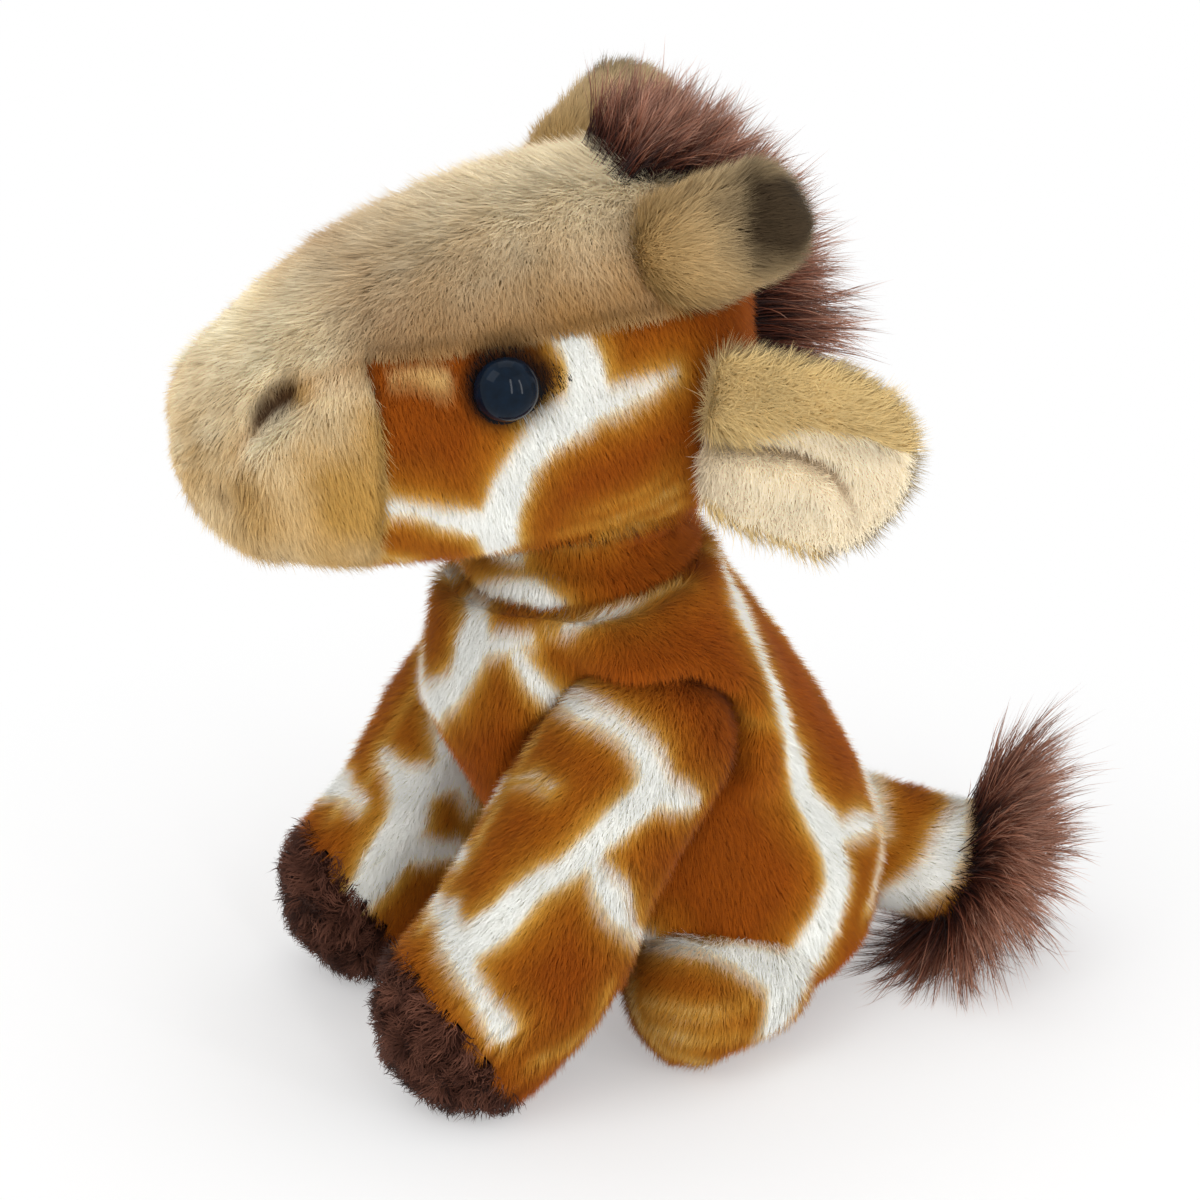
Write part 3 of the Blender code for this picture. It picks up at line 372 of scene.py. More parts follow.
def tail_grid():
    """A short sausage out of the seat's back, to the toy's left."""
    rows = [
        (*(TAIL + tail_way * (share * (TAIL_LENGTH + 2 * TAIL_RADIUS) - TAIL_RADIUS)),
         TAIL_RADIUS, TAIL_RADIUS)
        for share in (0, 0.5, 1)
    ]
    return stuffed_grid(rows, (TAIL_RADIUS, 0.007), tail_across, grow=-SKIN_DEPTH,
                        rings=14, turns=40)


def horn_grid():
    """A blunt horn out of the crown, leaning back and out."""
    rows = [
        (*(HORN_ROOT + horn_way * share * HORN_LENGTH), radius, radius)
        for share, radius in ((0, 0.013), (0.5, 0.013), (1, 0.0115))
    ]
    across = unit(np.cross(horn_way, UPWARD))
    return stuffed_grid(rows, (0.013, 0.008), across, grow=-SKIN_DEPTH - 0.5 * MM,
                        rings=12, turns=36)


EAR_LENGTH, EAR_HEIGHT, EAR_THICKNESS, EAR_CURL = 0.0435, 0.0385, 0.013, 0.007
EAR_SHARES = ((0.00, 0.86, 0.60), (0.30, 0.95, 0.85), (0.62, 1.00, 1.00), (1.00, 0.86, 0.85))
EAR_AHEAD, EAR_DROOP = np.radians(47), np.radians(7)
# Height shares along the ear of its long fold, and of the edge between furry roll and lining
EAR_CREASE = (
    (0.0, 0.25, 0.45, 0.62, 0.72, 0.78), (-0.24, -0.12, -0.07, -0.12, -0.3, -0.5),
)
EAR_RIM = (
    (0.0, 0.22, 0.36, 0.5, 0.75, 0.95, 1.1), (-0.16, -0.04, 0.16, 0.3, 0.36, 0.2, -0.1),
)
EAR_ROLL, EAR_HOLLOW, EAR_FOLD, EAR_LIP = 1.3, 1.5, 3.0, 1.5  # their heights in millimetres
ear_way = unit(np.array([
    np.cos(EAR_AHEAD) * np.cos(EAR_DROOP), np.sin(EAR_AHEAD) * np.cos(EAR_DROOP),
    -np.sin(EAR_DROOP),
]))
ear_front = unit(np.cross(ear_way, UPWARD))
ear_high = np.cross(ear_front, ear_way)


def ear_grid():
    """A leaf out of the head's side, its front hollowed under a furry roll, with one long fold."""
    rows = [
        (0, share * EAR_LENGTH, 0, high * EAR_HEIGHT / 2, thick * EAR_THICKNESS / 2)
        for share, high, thick in EAR_SHARES
    ]
    grid = stuffed_grid(rows, (0.0062, 0.016), ACROSS, UPWARD, grow=-SKIN_DEPTH,
                        rings=30, turns=72)
    up, along, front = -grid[..., 0], grid[..., 1], grid[..., 2]
    share, out = up / (EAR_HEIGHT / 2), along / EAR_LENGTH
    below_rim = share - np.interp(out, *EAR_RIM)
    off_crease = (share - np.interp(out, *EAR_CREASE)) * EAR_HEIGHT / 2
    roll = bell(below_rim - 0.16, 0.2) * clamped(1.2 - out)
    hollow = clamped(-below_rim / 0.12) * np.exp(-((share / 0.8) ** 6)) * clamped(out * 3)
    fold = bell(off_crease, 1.5 * MM) * clamped((0.8 - out) / 0.12)
    lip = bell(off_crease + 4.5 * MM, 2.8 * MM) * clamped((0.85 - out) / 0.2)
    relief = EAR_ROLL * roll - EAR_HOLLOW * hollow - EAR_FOLD * fold + EAR_LIP * lip
    front = front + clamped(front / (2 * MM)) * relief * MM
    front = front + EAR_CURL * share**2
    return (EAR + up[..., None] * ear_high + along[..., None] * ear_way
            + front[..., None] * ear_front)


print("forms:", [grid().shape[:2] for grid in (trunk_grid, head_grid, leg_grid, ear_grid)])

# %% [markdown]
# Stuffing pushes a sewn skin out between its seams, while the threads hold the seams in. Blender's
# Cloth does that with an inner pressure: the points along the seams are held, all others swell,
# and no point may move further than a cap. All forms swell together, in one run of 20 frames.
# Only the left leg, horn, ear and hind leg are swollen, and the right ones are their mirror image.


# %% Swelling the skins
HEAD_SEAM = ((0.087, 0.268, 0.55, 0.70), (0.571, 0.68, 0.695, 0.721))  # back, high
CHEEK_BACK = 0.268


def seam_hold(name, points):
    """True where a seam or a hard fold holds the skin: on its planes, within 1.2 mm."""
    x, y, z = points.T
    near = 1.2 * MM
    if name == "head":
        share = (y - HEAD_NOSE) / HEAD_LENGTH
        seam = HEAD_FLOOR + HEAD_HEIGHT * np.interp(share, *HEAD_SEAM)
        side = (abs(z - seam) < near) & (share > 0.06)
        cheek = (abs(share - CHEEK_BACK) * HEAD_LENGTH < near) & (z < seam)
        return side | cheek | ((abs(x) < near) & (z < HEAD_FLOOR + 0.25 * HEAD_HEIGHT))
    if name == "trunk":
        return (z < 6 * MM) | (abs(x) < near)
    if name == "leg":
        return abs((points - FOOT) @ toe_way - (LEG_RADIUS - HOOF_LENGTH)) < near
    if name == "ear":
        up = (points - EAR) @ ear_high / (EAR_HEIGHT / 2)
        return abs((points - EAR) @ ear_front - EAR_CURL * up**2) < near / 2
    return np.zeros(len(points), bool)


# Each form with its cap in millimetres
FORMS = {
    "trunk": (trunk_grid, 1.6), "head": (head_grid, 1.2), "leg": (leg_grid, 1.2),
    "hind": (hind_grid, 1.0), "tail": (tail_grid, 0.8), "horn": (horn_grid, 0.8),
    "ear": (ear_grid, 0.8),
}
SWELL_FRAMES = 20
CLOTH = {
    "quality": 5, "mass": 0.002, "tension_stiffness": 1.0, "compression_stiffness": 1.0,
    "shear_stiffness": 1.0, "bending_stiffness": 0.02, "use_pressure": True,
    "uniform_pressure_force": 4.0, "vertex_group_mass": "held",
}
forms = {name: loft(name + "_form", grid()) for name, (grid, _) in FORMS.items()}
starts = {name: places_of(form.data) for name, form in forms.items()}
for name, form in forms.items():
    group = form.vertex_groups.new(name="held")
    group.add(np.flatnonzero(seam_hold(name, starts[name])).tolist(), 1.0, "REPLACE")
    settings = form.modifiers.new("Cloth", "CLOTH").settings
    for field, value in CLOTH.items():
        setattr(settings, field, value)
    settings.effector_weights.gravity = 0
for number in range(1, SWELL_FRAMES + 1):
    bpy.context.scene.frame_set(number)
for name, form in forms.items():
    swollen = starts[name]
    view = bpy.context.evaluated_depsgraph_get()
    swollen = places_of(form.evaluated_get(view).data)
    form.modifiers.clear()
    form.vertex_groups.clear()
    move = swollen - starts[name]
    far = np.maximum(np.linalg.norm(move, axis=1), 1e-9)[:, None]
    put_places(form.data, starts[name] + move * np.minimum(1, FORMS[name][1] * MM / far))
    print(name, len(swollen), "points, largest move", round(float(far.max()) / MM, 2), "mm")
bpy.context.scene.frame_set(1)

# %% [markdown]
# Stuffed parts press on each other. The seat and the soles are flat on the floor, the legs are
# flat where they lie against the chest, and the trunk gives way to the legs and to the tail, also
# where these swing. Round the top of each front leg the trunk is drawn out to the leg, as a sewn
# shoulder is. The head and the trunk are hollowed to a cup round the ball of the neck.
# Then each skin is subdivided once, so that it is round up close.


# %% Pressing the forms together
LEG_LIFTS, TAIL_SWINGS = (0, -7, -14, -20), (-10, 0, 12, 24, 35)  # degrees to leave room for
NARROWED, NARROW_REACH = 0.28, 22 * MM  # of the leg at the shoulder
HUG_CORE, HUG_FADE, HUG_OUT = 18 * MM, 10 * MM, 9.5 * MM  # of the trunk round the shoulder
HUG_INNER, HUG_EDGE, HUG_FROM = 12 * MM, 5 * MM, 14 * MM  # off the hinge, a fade, off the middle
LEAST_REACH = 0.3  # share of its way out that a point keeps, whatever is before it
FLOOR_GAP, LIMB_GAP, CUP_GAP = 0.8 * MM, 1.6 * MM, 0.3 * MM
MIRROR = np.array([-1.0, 1.0, 1.0])


def tree_of(points, faces):
    """A search tree over triangles or quads."""
    return BVHTree.FromPolygons(np.asarray(points).tolist(), [list(f) for f in faces])


def faces_of(mesh):
    """The mesh's faces as lists of point numbers."""
    return [list(face.vertices) for face in mesh.polygons]


def to_left(points):
    """Points moved to the toy's left side: x without its sign."""
    return np.where((True, False, False), abs(points), points)


def turned(points, pivot, axis, degrees):
    """Points turned about a line: the part along it stays, the rest turns by the angle."""
    angle, loose = np.radians(degrees), points - pivot
    along = (loose @ axis)[:, None] * axis
    return pivot + along + (loose - along) * np.cos(angle) + np.cross(axis, loose) * np.sin(angle)


def give_way(points, spine_point, blockers, clearance):
    """Each point stays short of the first blocker on its way out from the spine."""
    kept = points.copy()
    for index, (point, start) in enumerate(zip(points, spine_point)):
        way = point - start
        reach = np.linalg.norm(way)
        for blocker in blockers:
            hit = blocker.ray_cast(Vector(start), Vector(way / reach), reach + clearance)
            if hit[0] is not None:
                reach = min(reach, max(hit[3] - clearance, LEAST_REACH * reach))
        kept[index] = start + way / np.linalg.norm(way) * reach
    return kept


def cupped(points):
    """Points inside the ball of the neck move out from its centre to just beyond its skin."""
    away = points - NECK
    far = np.maximum(np.linalg.norm(away, axis=1), 1e-9)[:, None]
    return NECK + away * np.maximum(1, (NECK_RADIUS + CUP_GAP) / far)


# The leg: drawn in at the shoulder, flat inside and on the floor
leg = places_of(forms["leg"].data)
down_leg = unit((FOOT - SHOULDER) * (0, 1, 1))
at_shoulder = clamped(1 - (leg - SHOULDER) @ down_leg / NARROW_REACH)
outer = np.maximum(leg[:, 0] - SHOULDER[0], 0)
leg[:, 0] -= outer * NARROWED * at_shoulder
leg[:, 0] = np.maximum(leg[:, 0], LEG_INNER_FLAT + SKIN_DEPTH / 2)
leg[:, 2] = np.maximum(leg[:, 2], FLOOR_GAP)
put_places(forms["leg"].data, leg)
leg_faces, tail_faces = faces_of(forms["leg"].data), faces_of(forms["tail"].data)
tail_points = places_of(forms["tail"].data)
blockers = []
for degrees in LEG_LIFTS:
    lifted = turned(leg, SHOULDER, ACROSS, degrees)
    blockers += [tree_of(lifted, leg_faces), tree_of(lifted * MIRROR, leg_faces)]
for degrees in TAIL_SWINGS:
    blockers.append(tree_of(turned(tail_points, TAIL, UPWARD, degrees), tail_faces))

# The trunk: drawn out round the shoulder, giving way to the limbs, cut to the collar
trunk = places_of(forms["trunk"].data)
lifted_leg = turned(down_leg[None] + SHOULDER, SHOULDER, ACROSS, LEG_LIFTS[-1])[0] - SHOULDER
away = to_left(trunk) - SHOULDER
beyond = clamped(-np.maximum(away @ down_leg, away @ lifted_leg) / HUG_EDGE)
ringed = np.hypot(away[:, 1], away[:, 2])
hug = beyond * bell(np.maximum(ringed - HUG_CORE, 0), HUG_FADE) * (ringed > HUG_INNER)
width_there = abs(trunk[:, 0])
drawn_out = width_there + np.maximum(SHOULDER[0] + HUG_OUT - width_there, 0) * hug
trunk[:, 0] = np.sign(trunk[:, 0]) * np.where(width_there > HUG_FROM, drawn_out, width_there)
spine = trunk * (0, 0, 1)
spine[:, 1] = np.interp(
    trunk[:, 2], [row[0] * TRUNK_HEIGHT for row in TRUNK_SHARES],
    [NECK[1] + row[1] * TRUNK_LEAN for row in TRUNK_SHARES],
)
trunk = give_way(trunk, spine, blockers, LIMB_GAP)
collar_up = np.array([0, -np.sin(COLLAR_TILT), np.cos(COLLAR_TILT)])
over = np.maximum((trunk - NECK) @ collar_up + COLLAR_DROP, 0)[:, None]
trunk -= over * collar_up
trunk[:, 2] = np.maximum(trunk[:, 2], FLOOR_GAP)
put_places(forms["trunk"].data, cupped(trunk))
put_places(forms["head"].data, cupped(places_of(forms["head"].data)))
hind = places_of(forms["hind"].data)
hind[:, 2] = np.maximum(hind[:, 2], FLOOR_GAP)
put_places(forms["hind"].data, hind)

for form in forms.values():
    form.modifiers.new("round", "SUBSURF").levels = 1
    view = bpy.context.evaluated_depsgraph_get()
    fine = bpy.data.meshes.new_from_object(form.evaluated_get(view))
    form.modifiers.clear()
    form.data = fine
    fine.shade_smooth()
print("skins:", {name: len(form.data.polygons) for name, form in forms.items()})

# %% [markdown]
# Each form now becomes the toy's own piece. The leg is cut across into leg, hoof band and sole,
# as it is sewn, and the left ones are mirrored for the right. Every skin stands for the solids of
# its panels and of the stuffing behind them.


# %% Skins of the toy
def cut_between(form, name, low=None, high=None):
    """A closed copy of the form between two planes, each a point and its outward side."""
    shape = bmesh.new()
    shape.from_mesh(form.data)
    for plane in (low, high):
        if plane is not None:
            parts = shape.verts[:] + shape.edges[:] + shape.faces[:]
            bmesh.ops.bisect_plane(
                shape, geom=parts, plane_co=plane[0], plane_no=plane[1], clear_outer=True
            )
            rim = [edge for edge in shape.edges if edge.is_boundary]
            bmesh.ops.holes_fill(shape, edges=rim)
    mesh = bpy.data.meshes.new(name)
    shape.to_mesh(mesh)
    shape.free()
    mesh.shade_smooth()
    return add_piece(name, mesh)


def mirrored(piece, name):
    """The same piece for the other side, its faces turned back outwards."""
    mesh = piece.data.copy()
    put_places(mesh, places_of(mesh) * MIRROR)
    mesh.flip_normals()
    return add_piece(name, mesh)


def dress(piece, body, slot, *nodes, fill=None):
    """Puts the piece on its body and hides the solids it stands for; slot and fill are not used."""
    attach(piece, body)
    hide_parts(*nodes)


SEAM = 0.2 * MM
seam_plane = FOOT + toe_way * (LEG_RADIUS - HOOF_LENGTH)
sole_plane = FOOT + toe_way * (LEG_RADIUS - SOLE_LENGTH)
skins = {}
for key, form, low, high in (
    ("leg", "leg", None, (seam_plane - toe_way * SEAM, toe_way)),
    ("hoof", "leg", (seam_plane + toe_way * SEAM, -toe_way),
     (sole_plane - toe_way * SEAM, toe_way)),
    ("sole", "leg", (sole_plane + toe_way * SEAM, -toe_way), None),
    ("hind_leg", "hind", None, None),
    ("tail", "tail", None, (TAIL + tail_way * (TAIL_LENGTH + 4 * MM), tail_way)),
    ("horn", "horn", None, None),
    ("ear", "ear", None, None),
    ("trunk", "trunk", None, None),
    ("head", "head", None, None),
):
    single = key in ("tail", "trunk", "head")
    left = cut_between(forms[form], key + ("_skin" if single else "_skin_left"), low, high)
    skins[left.name] = left
    if not single:
        skins[key + "_skin_right"] = mirrored(left, key + "_skin_right")
for form in forms.values():
    bpy.data.objects.remove(form, do_unlink=True)

neck_rows = [(*(NECK + UPWARD * part * NECK_RADIUS), NECK_RADIUS, NECK_RADIUS)
             for part in (-1, 0, 1)]
neck_ball = stuffed_grid(neck_rows, (NECK_RADIUS, NECK_RADIUS), ACROSS, grow=-SKIN_DEPTH,
                         rings=4, turns=64)
skins["neck_skin"] = loft("neck_skin", neck_ball)

dress(skins["trunk_skin"], "trunk", "golden", "body_panel_left", "body_panel_right",
      "base_panel", "body_stuffing", "pellet_bag", fill=0.85)
dress(skins["neck_skin"], "neck", "brown_patch", "neck_panel", "neck_stuffing", fill=0.8)
dress(skins["head_skin"], "head", "beige", "forehead_panel", "muzzle_panel_left",
      "muzzle_panel_right", "face_panel_left", "face_panel_right", "head_stuffing", fill=0.9)
dress(skins["tail_skin"], "tail", "golden", "tail", fill=0.7)
for side, _ in SIDES:
    for key, body, slot, fill, *nodes in (
        ("leg", "front_leg_" + side, "golden", 0.8, "leg_", "leg_stuffing_"),
        ("hoof", "front_leg_" + side, "hoof_brown", 0.8, "hoof_"),
        ("sole", "front_leg_" + side, "hoof_brown", 0.8, "sole_"),
        ("hind_leg", "trunk", "golden", 0.8, "hind_leg_"),
        ("horn", "head", "beige", 0.8, "horn_"),
        ("ear", "ear_flap_" + side, "beige", 0.4, "ear_", "ear_lining_"),
    ):
        dress(skins[f"{key}_skin_{side}"], body, slot, *(node + side for node in nodes), fill=fill)
print("skins:", len(skins))

# %% [markdown]
# The print is a net of white lines round brown patches. The dye bleeds, so a patch goes from
# white over gold and orange to red-brown within a centimetre. Each white line is written as
# pixels of the picture, sent as rays from the camera onto the skin, and kept as a line in space;
# its mirror image serves the hidden side. The colour of a fibre, at its root and at its tip,
# follows from the distance to the nearest line.


# %% Dyes and the printed net
def linear(code):
    """sRGB hex to linear light: c / 12.92 where dark, else ((c + 0.055) / 1.055) to the 2.4."""
    c = np.array([int(code[i:i + 2], 16) for i in (1, 3, 5)]) / 255
    return np.where(c <= 0.04045, c / 12.92, ((c + 0.055) / 1.055) ** 2.4)


PRINT_DEPTHS = np.array([0.0, 0.8, 1.8, 4.0, 10.0]) * MM
PRINT_DYES = np.array(
    [linear(code) for code in ("#e9ece9", "#d0ae66", "#b98530", "#9e5e14", "#8f480a")]
)
# Each line is a row of picture pixels with the half width there in millimetres. A width below
# zero leaves no white, only the gold that lies so far from a white line
FACE_LINES = (
    ((384, 507, 1.5), (410, 508, 1.4), (440, 514, 1.6), (465, 517, 2.3), (485, 521, 3.0),
     (497, 526, 3.2)),
    ((497, 528, 3.0), (500, 500, 3.2), (512, 474, 3.0), (535, 442, 3.0), (560, 421, 3.4),
     (583, 402, 3.8), (585, 376, 2.7), (580, 356, 2.3), (572, 341, 2.0), (560, 335, 1.5)),
    ((598, 402, 2.6), (630, 392, 1.4), (655, 382, 1.2), (671, 375, 1.1)),
    ((494, 530, 2.8), (505, 547, 1.4), (520, 557, 0.6)),
    ((575, 510, -2.6), (610, 500, -2.4), (645, 486, -2.2), (668, 468, -2.4)),
    ((560, 526, -2.0), (600, 517, -1.8), (640, 503, -1.6), (672, 485, -1.6)),
    ((560, 541, -1.7), (600, 532, -1.4), (640, 518, -1.2), (672, 500, -1.2)),
    ((378, 549, -0.7), (415, 553, -0.6), (455, 552, -0.6), (500, 546, -0.6), (530, 541, -0.8)),
)
NECK_LINES = (
    ((488, 590, 1.0), (515, 590, 2.4), (538, 591, 2.7), (551, 602, 2.0)),
    ((550, 629, -0.2), (570, 627, 0.2), (600, 620, 0.1), (628, 612, 0.1), (655, 600, 0.0),
     (680, 587, -0.3)),
)
CHEST_LINES = (
    ((470, 598, 0.9), (480, 614, 1.5), (474, 648, 2.3), (463, 680, 1.8), (440, 702, 2.5),
     (443, 724, 2.1), (446, 750, 1.7), (458, 782, 1.2), (469, 808, 0.8)),
    ((491, 646, 1.1), (510, 642, 0.8), (531, 639, 0.5)),
    ((437, 602, -0.9), (427, 645, -0.8), (429, 686, -0.8), (448, 733, -1.0)),
)
SIDE_LINES = (
    ((714, 562, 1.2), (722, 580, 1.7), (734, 606, 2.0), (749, 641, 2.0), (765, 683, 2.0),
     (780, 725, 2.2), (790, 768, 2.4), (807, 806, 2.7), (828, 841, 3.1), (834, 879, 2.9),
     (822, 918, 3.4), (803, 952, 3.9), (784, 990, 4.1), (772, 1020, 3.7)),
    ((842, 834, 1.5), (861, 827, 1.2), (880, 820, 1.2)),
    ((864, 758, 0.5), (871, 790, 0.9), (874, 820, 1.0), (874, 850, 0.8), (870, 880, 0.6),
     (862, 905, 0.4)),
    ((636, 978, -1.3), (640, 1010, -0.9), (660, 1040, -0.6), (700, 1056, -0.4),
     (745, 1058, -0.6)),
    ((650, 1004, -1.6), (700, 1014, -1.2), (745, 1008, -1.6)),
    ((655, 1028, -1.0), (700, 1038, -0.7), (740, 1034, -1.0)),
    ((645, 938, 1.9), (680, 945, 2.0), (718, 954, 2.2), (757, 964, 3.4), (782, 976, 4.1)),
)
LEG_LINES = (
    ((522, 660, 0.8), (541, 687, 1.5), (580, 710, 1.7), (618, 730, 1.9), (646, 760, 2.3),
     (654, 788, 2.3), (690, 803, 1.0)),
    ((642, 800, 2.3), (611, 831, 2.1), (572, 864, 2.1), (534, 887, 2.3), (507, 914, 2.3),
     (468, 943, 2.3), (446, 918, 1.2), (437, 897, 0.6)),
    ((588, 852, 1.6), (607, 891, 1.6), (624, 925, 1.3), (636, 944, 1.0)),
    ((457, 942, 2.3), (468, 975, 2.0), (488, 1008, 1.7), (500, 1030, 1.5)),
    ((560, 712, -1.6), (532, 757, -1.4), (503, 808, -1.2), (476, 855, -1.0), (450, 896, -0.9),
     (427, 930, -1.0)),
    ((640, 900, -1.6), (632, 942, -1.2), (614, 990, -0.9), (592, 1025, -0.8), (566, 1050, -0.9)),
    ((604, 985, -1.6), (590, 1015, -1.2), (566, 1040, -1.0), (535, 1057, -1.0)),
)
FAR_LEG_LINES = (
    ((385, 757, 1.0), (400, 778, 2.1), (410, 800, 3.5), (404, 828, 3.6), (388, 856, 3.6),
     (370, 884, 2.6), (357, 900, 1.3)),
    ((410, 786, 2.7), (434, 781, 2.3), (456, 779, 1.4)),
    ((405, 845, 3.1), (430, 850, 1.6), (446, 849, 0.8)),
    ((298, 807, 0.8), (325, 796, 2.0), (350, 785, 1.6)),
)
TAIL_LINES = (
    ((966, 804, 0.9), (956, 825, 2.2), (950, 846, 3.3), (938, 870, 3.4), (915, 887, 3.0),
     (896, 897, 2.7), (885, 906, 2.2)),
)
# The trunk's unseen back, as degrees round from straight back to the left, height, half width
BACK_LINES = (
    ((2, 100, 1.8), (4, 84, 2.2), (-3, 66, 2.8), (2, 50, 2.4), (0, 36, 3.0)),
    ((-27, 36, 1.3), (-17, 40, 1.8), (-6, 44, 2.4), (0, 36, 3.0), (8, 42, 2.4), (17, 40, 1.8),
     (27, 36, 1.3)),
    ((0, 36, 2.6), (-6, 10, 2.2)),
)
PIXEL_STEP, BACK_STEP, LONGEST_STEP = 7, 3, 9 * MM
NO_LINES = np.zeros((0, 7))


def tree_of_piece(piece):
    """A search tree over a piece's own faces."""
    return tree_of(places_of(piece.data), faces_of(piece.data))


trees = {name: tree_of_piece(piece) for name, piece in skins.items()}


def drawn_through(marks, step):
    """Rows along a line drawn smoothly through its marks, about one step apart."""
    marks = np.array(marks, float)
    run = run_along(marks[:, :2])
    return smooth_rows(run, marks, np.linspace(0, run[-1], max(int(run[-1] / step), 2)))


def nearest_skin(start, way):
    """Name of the first skin on a ray and the place where the ray meets it."""
    hits = [(tree.ray_cast(Vector(start), Vector(way)), name) for name, tree in trees.items()]
    hits = [(hit[3], name, np.array(hit[0])) for hit, name in hits if hit[0] is not None]
    return min(hits, key=lambda hit: hit[0])[1:] if hits else (None, None)


def laid(net, starts, ways, halves):
    """Adds to the net, skin by skin, rows of start, end and half width between neighbour hits."""
    hits = [nearest_skin(start, way) for start, way in zip(starts, ways)]
    for (name, spot), (next_name, next_spot), half in zip(hits, hits[1:], halves):
        together = name is not None and name == next_name
        if together and np.linalg.norm(next_spot - spot) < LONGEST_STEP:
            net.setdefault(name, []).append([*spot, *next_spot, half * MM])


def laid_from_picture(lines):
    """The net of lines drawn in the picture, cast from the camera onto the skin in front."""
    net = {}
    for line in lines:
        drawn = drawn_through(line, PIXEL_STEP)
        laid(net, [eye_point] * len(drawn), rays_through(drawn[:, :2]), drawn[:, 2])
    return {name: np.array(rows) for name, rows in net.items()}


def both_sides(rows):
    """The lines and their mirror image about the toy's middle."""
    return np.concatenate([rows, rows * np.array([-1, 1, 1, -1, 1, 1, 1])])


def kind_of(skin_name):
    """A skin's name without its side."""
    return skin_name.removesuffix("_left").removesuffix("_right")


nets = {}
for name, rows in laid_from_picture(
    FACE_LINES + NECK_LINES + CHEST_LINES + SIDE_LINES + LEG_LINES + FAR_LEG_LINES + TAIL_LINES
).items():
    kind = kind_of(name)
    if name == "tail_skin":
        ends = rows[:, :6].reshape(-1, 2, 3)
        off = ((ends - TAIL) @ tail_across)[..., None] * tail_across
        other = np.hstack([(ends - 2 * off).reshape(-1, 6), rows[:, 6:]])
        nets[kind] = np.concatenate([rows, other])
    else:
        nets[kind] = np.concatenate([nets.get(kind, NO_LINES), both_sides(rows)])
behind = {}
for line in BACK_LINES:
    drawn = drawn_through(line, BACK_STEP)
    turn = np.radians(drawn[:, 0])
    outward = np.stack([np.sin(turn), np.cos(turn), 0 * turn], 1)
    axis_points = np.stack([0 * turn, 0 * turn + NECK[1] + TRUNK_LEAN * 0.7, drawn[:, 1] * MM], 1)
    laid(behind, axis_points + outward * 0.2, -outward, drawn[:, 2])
nets["trunk_skin"] = np.concatenate([nets["trunk_skin"], np.array(behind["trunk_skin"])])
print("net segments:", {name: len(rows) for name, rows in nets.items()})


def wobble(points, scale, seed):
    """A smooth random field from about -1 to 1: six mixed sine waves, each about one scale long."""
    rng = np.random.default_rng(seed)
    ways = unit(rng.normal(size=(6, 3))) * 2 * np.pi / scale * rng.uniform(0.7, 1.4, (6, 1))
    return np.sin(points @ ways.T + rng.uniform(0, 2 * np.pi, 6)).mean(1) * 1.8


def from_net(points, net):
    """Distance past the edge of the nearest line: to the segment, less its half width."""
    best = np.full(len(points), 1.0)
    for row in net:
        start, way, half_width = row[:3], row[3:6] - row[:3], row[6]
        share = clamped((points - start) @ way / max(way @ way, 1e-12))
        gap = np.linalg.norm(points - start - share[:, None] * way, axis=1) - half_width
        best = np.minimum(best, gap)
    return best


def printed(points, skin_name):
    """The print of a skin: white on a line, then gold, orange and red-brown further from it.

    The distance is unsure by two wobbles, so the edges of the patches are uneven.
    """
    depth = from_net(points, nets.get(kind_of(skin_name), NO_LINES))
    depth = depth + 0.25 * MM * wobble(points, 6 * MM, 3)
    depth += 0.7 * MM * wobble(points, 19 * MM, 4)
    return np.stack([np.interp(depth, PRINT_DEPTHS, dye) for dye in PRINT_DYES.T], 1)


def mixed(dyes, other, share):
    """The dyes with a share of another one in them."""
    share = share[:, None]
    return dyes * (1 - share) + other * share


# %% [markdown]
# Each nostril is a few stitches that pull the pile in. Here it is a short dimple pressed into the
# head's skin, with fainter ones for the crease round it and the corner of the mouth. The fibres
# grow on the dimpled skin later, and painted shade is dyed into them there.

# %% Nostril and mouth dimples
NOSTRIL_LINES = (
    ((262, 424, 0.7), (270, 412, 1.7), (281, 402, 1.8), (290, 396, 0.8)),
)
CREASE_LINES = (
    ((243, 450, 0.2), (251, 438, 0.4), (262, 424, 0.5)),
    ((292, 393, 0.3), (327, 381, 0.4), (355, 374, 0.4), (383, 369, 0.4), (431, 362, 0.4),
     (473, 354, 0.3)),
)
MOUTH_LINES = (
    ((226, 500, 0.5), (240, 494, 0.8), (252, 490, 0.5)),
)
DIMPLES = ((NOSTRIL_LINES, 2.2, 2.4), (CREASE_LINES, 0.5, 2.4), (MOUTH_LINES, 1.0, 2.0))  # mm


def on_head(lines):
    """Lines of the picture laid on the head, with their mirror image."""
    return both_sides(laid_from_picture(lines)["head_skin"])


head_mesh = skins["head_skin"].data
points, outward = places_of(head_mesh), normals_of(head_mesh)
for lines, depth, reach in DIMPLES:
    sunk = bell(np.maximum(from_net(points, on_head(lines)), 0), reach * MM)[:, None]
    points = points - outward * depth * MM * sunk
put_places(head_mesh, points)
trees["head_skin"] = tree_of_piece(skins["head_skin"])
nostril_net, crease_net, mouth_net = (on_head(lines) for lines, _, _ in DIMPLES)
print("dimples:", len(nostril_net), "and", len(mouth_net), "segments")

# %% [markdown]
# One fibre is a flat blade that tapers to a point: pairs of points along it and one at the tip.
# It leaves the skin at a steep angle and is combed over along the nap. A blade would vanish when
# seen from its edge, so each is rolled about its own length by a random angle. A dense pile
# catches the light as one soft surface, so each blade's normals are turned most of the way to
# the normal of the skin below it. All fibres of a piece are worked out at once, as arrays of
# fibres by steps.


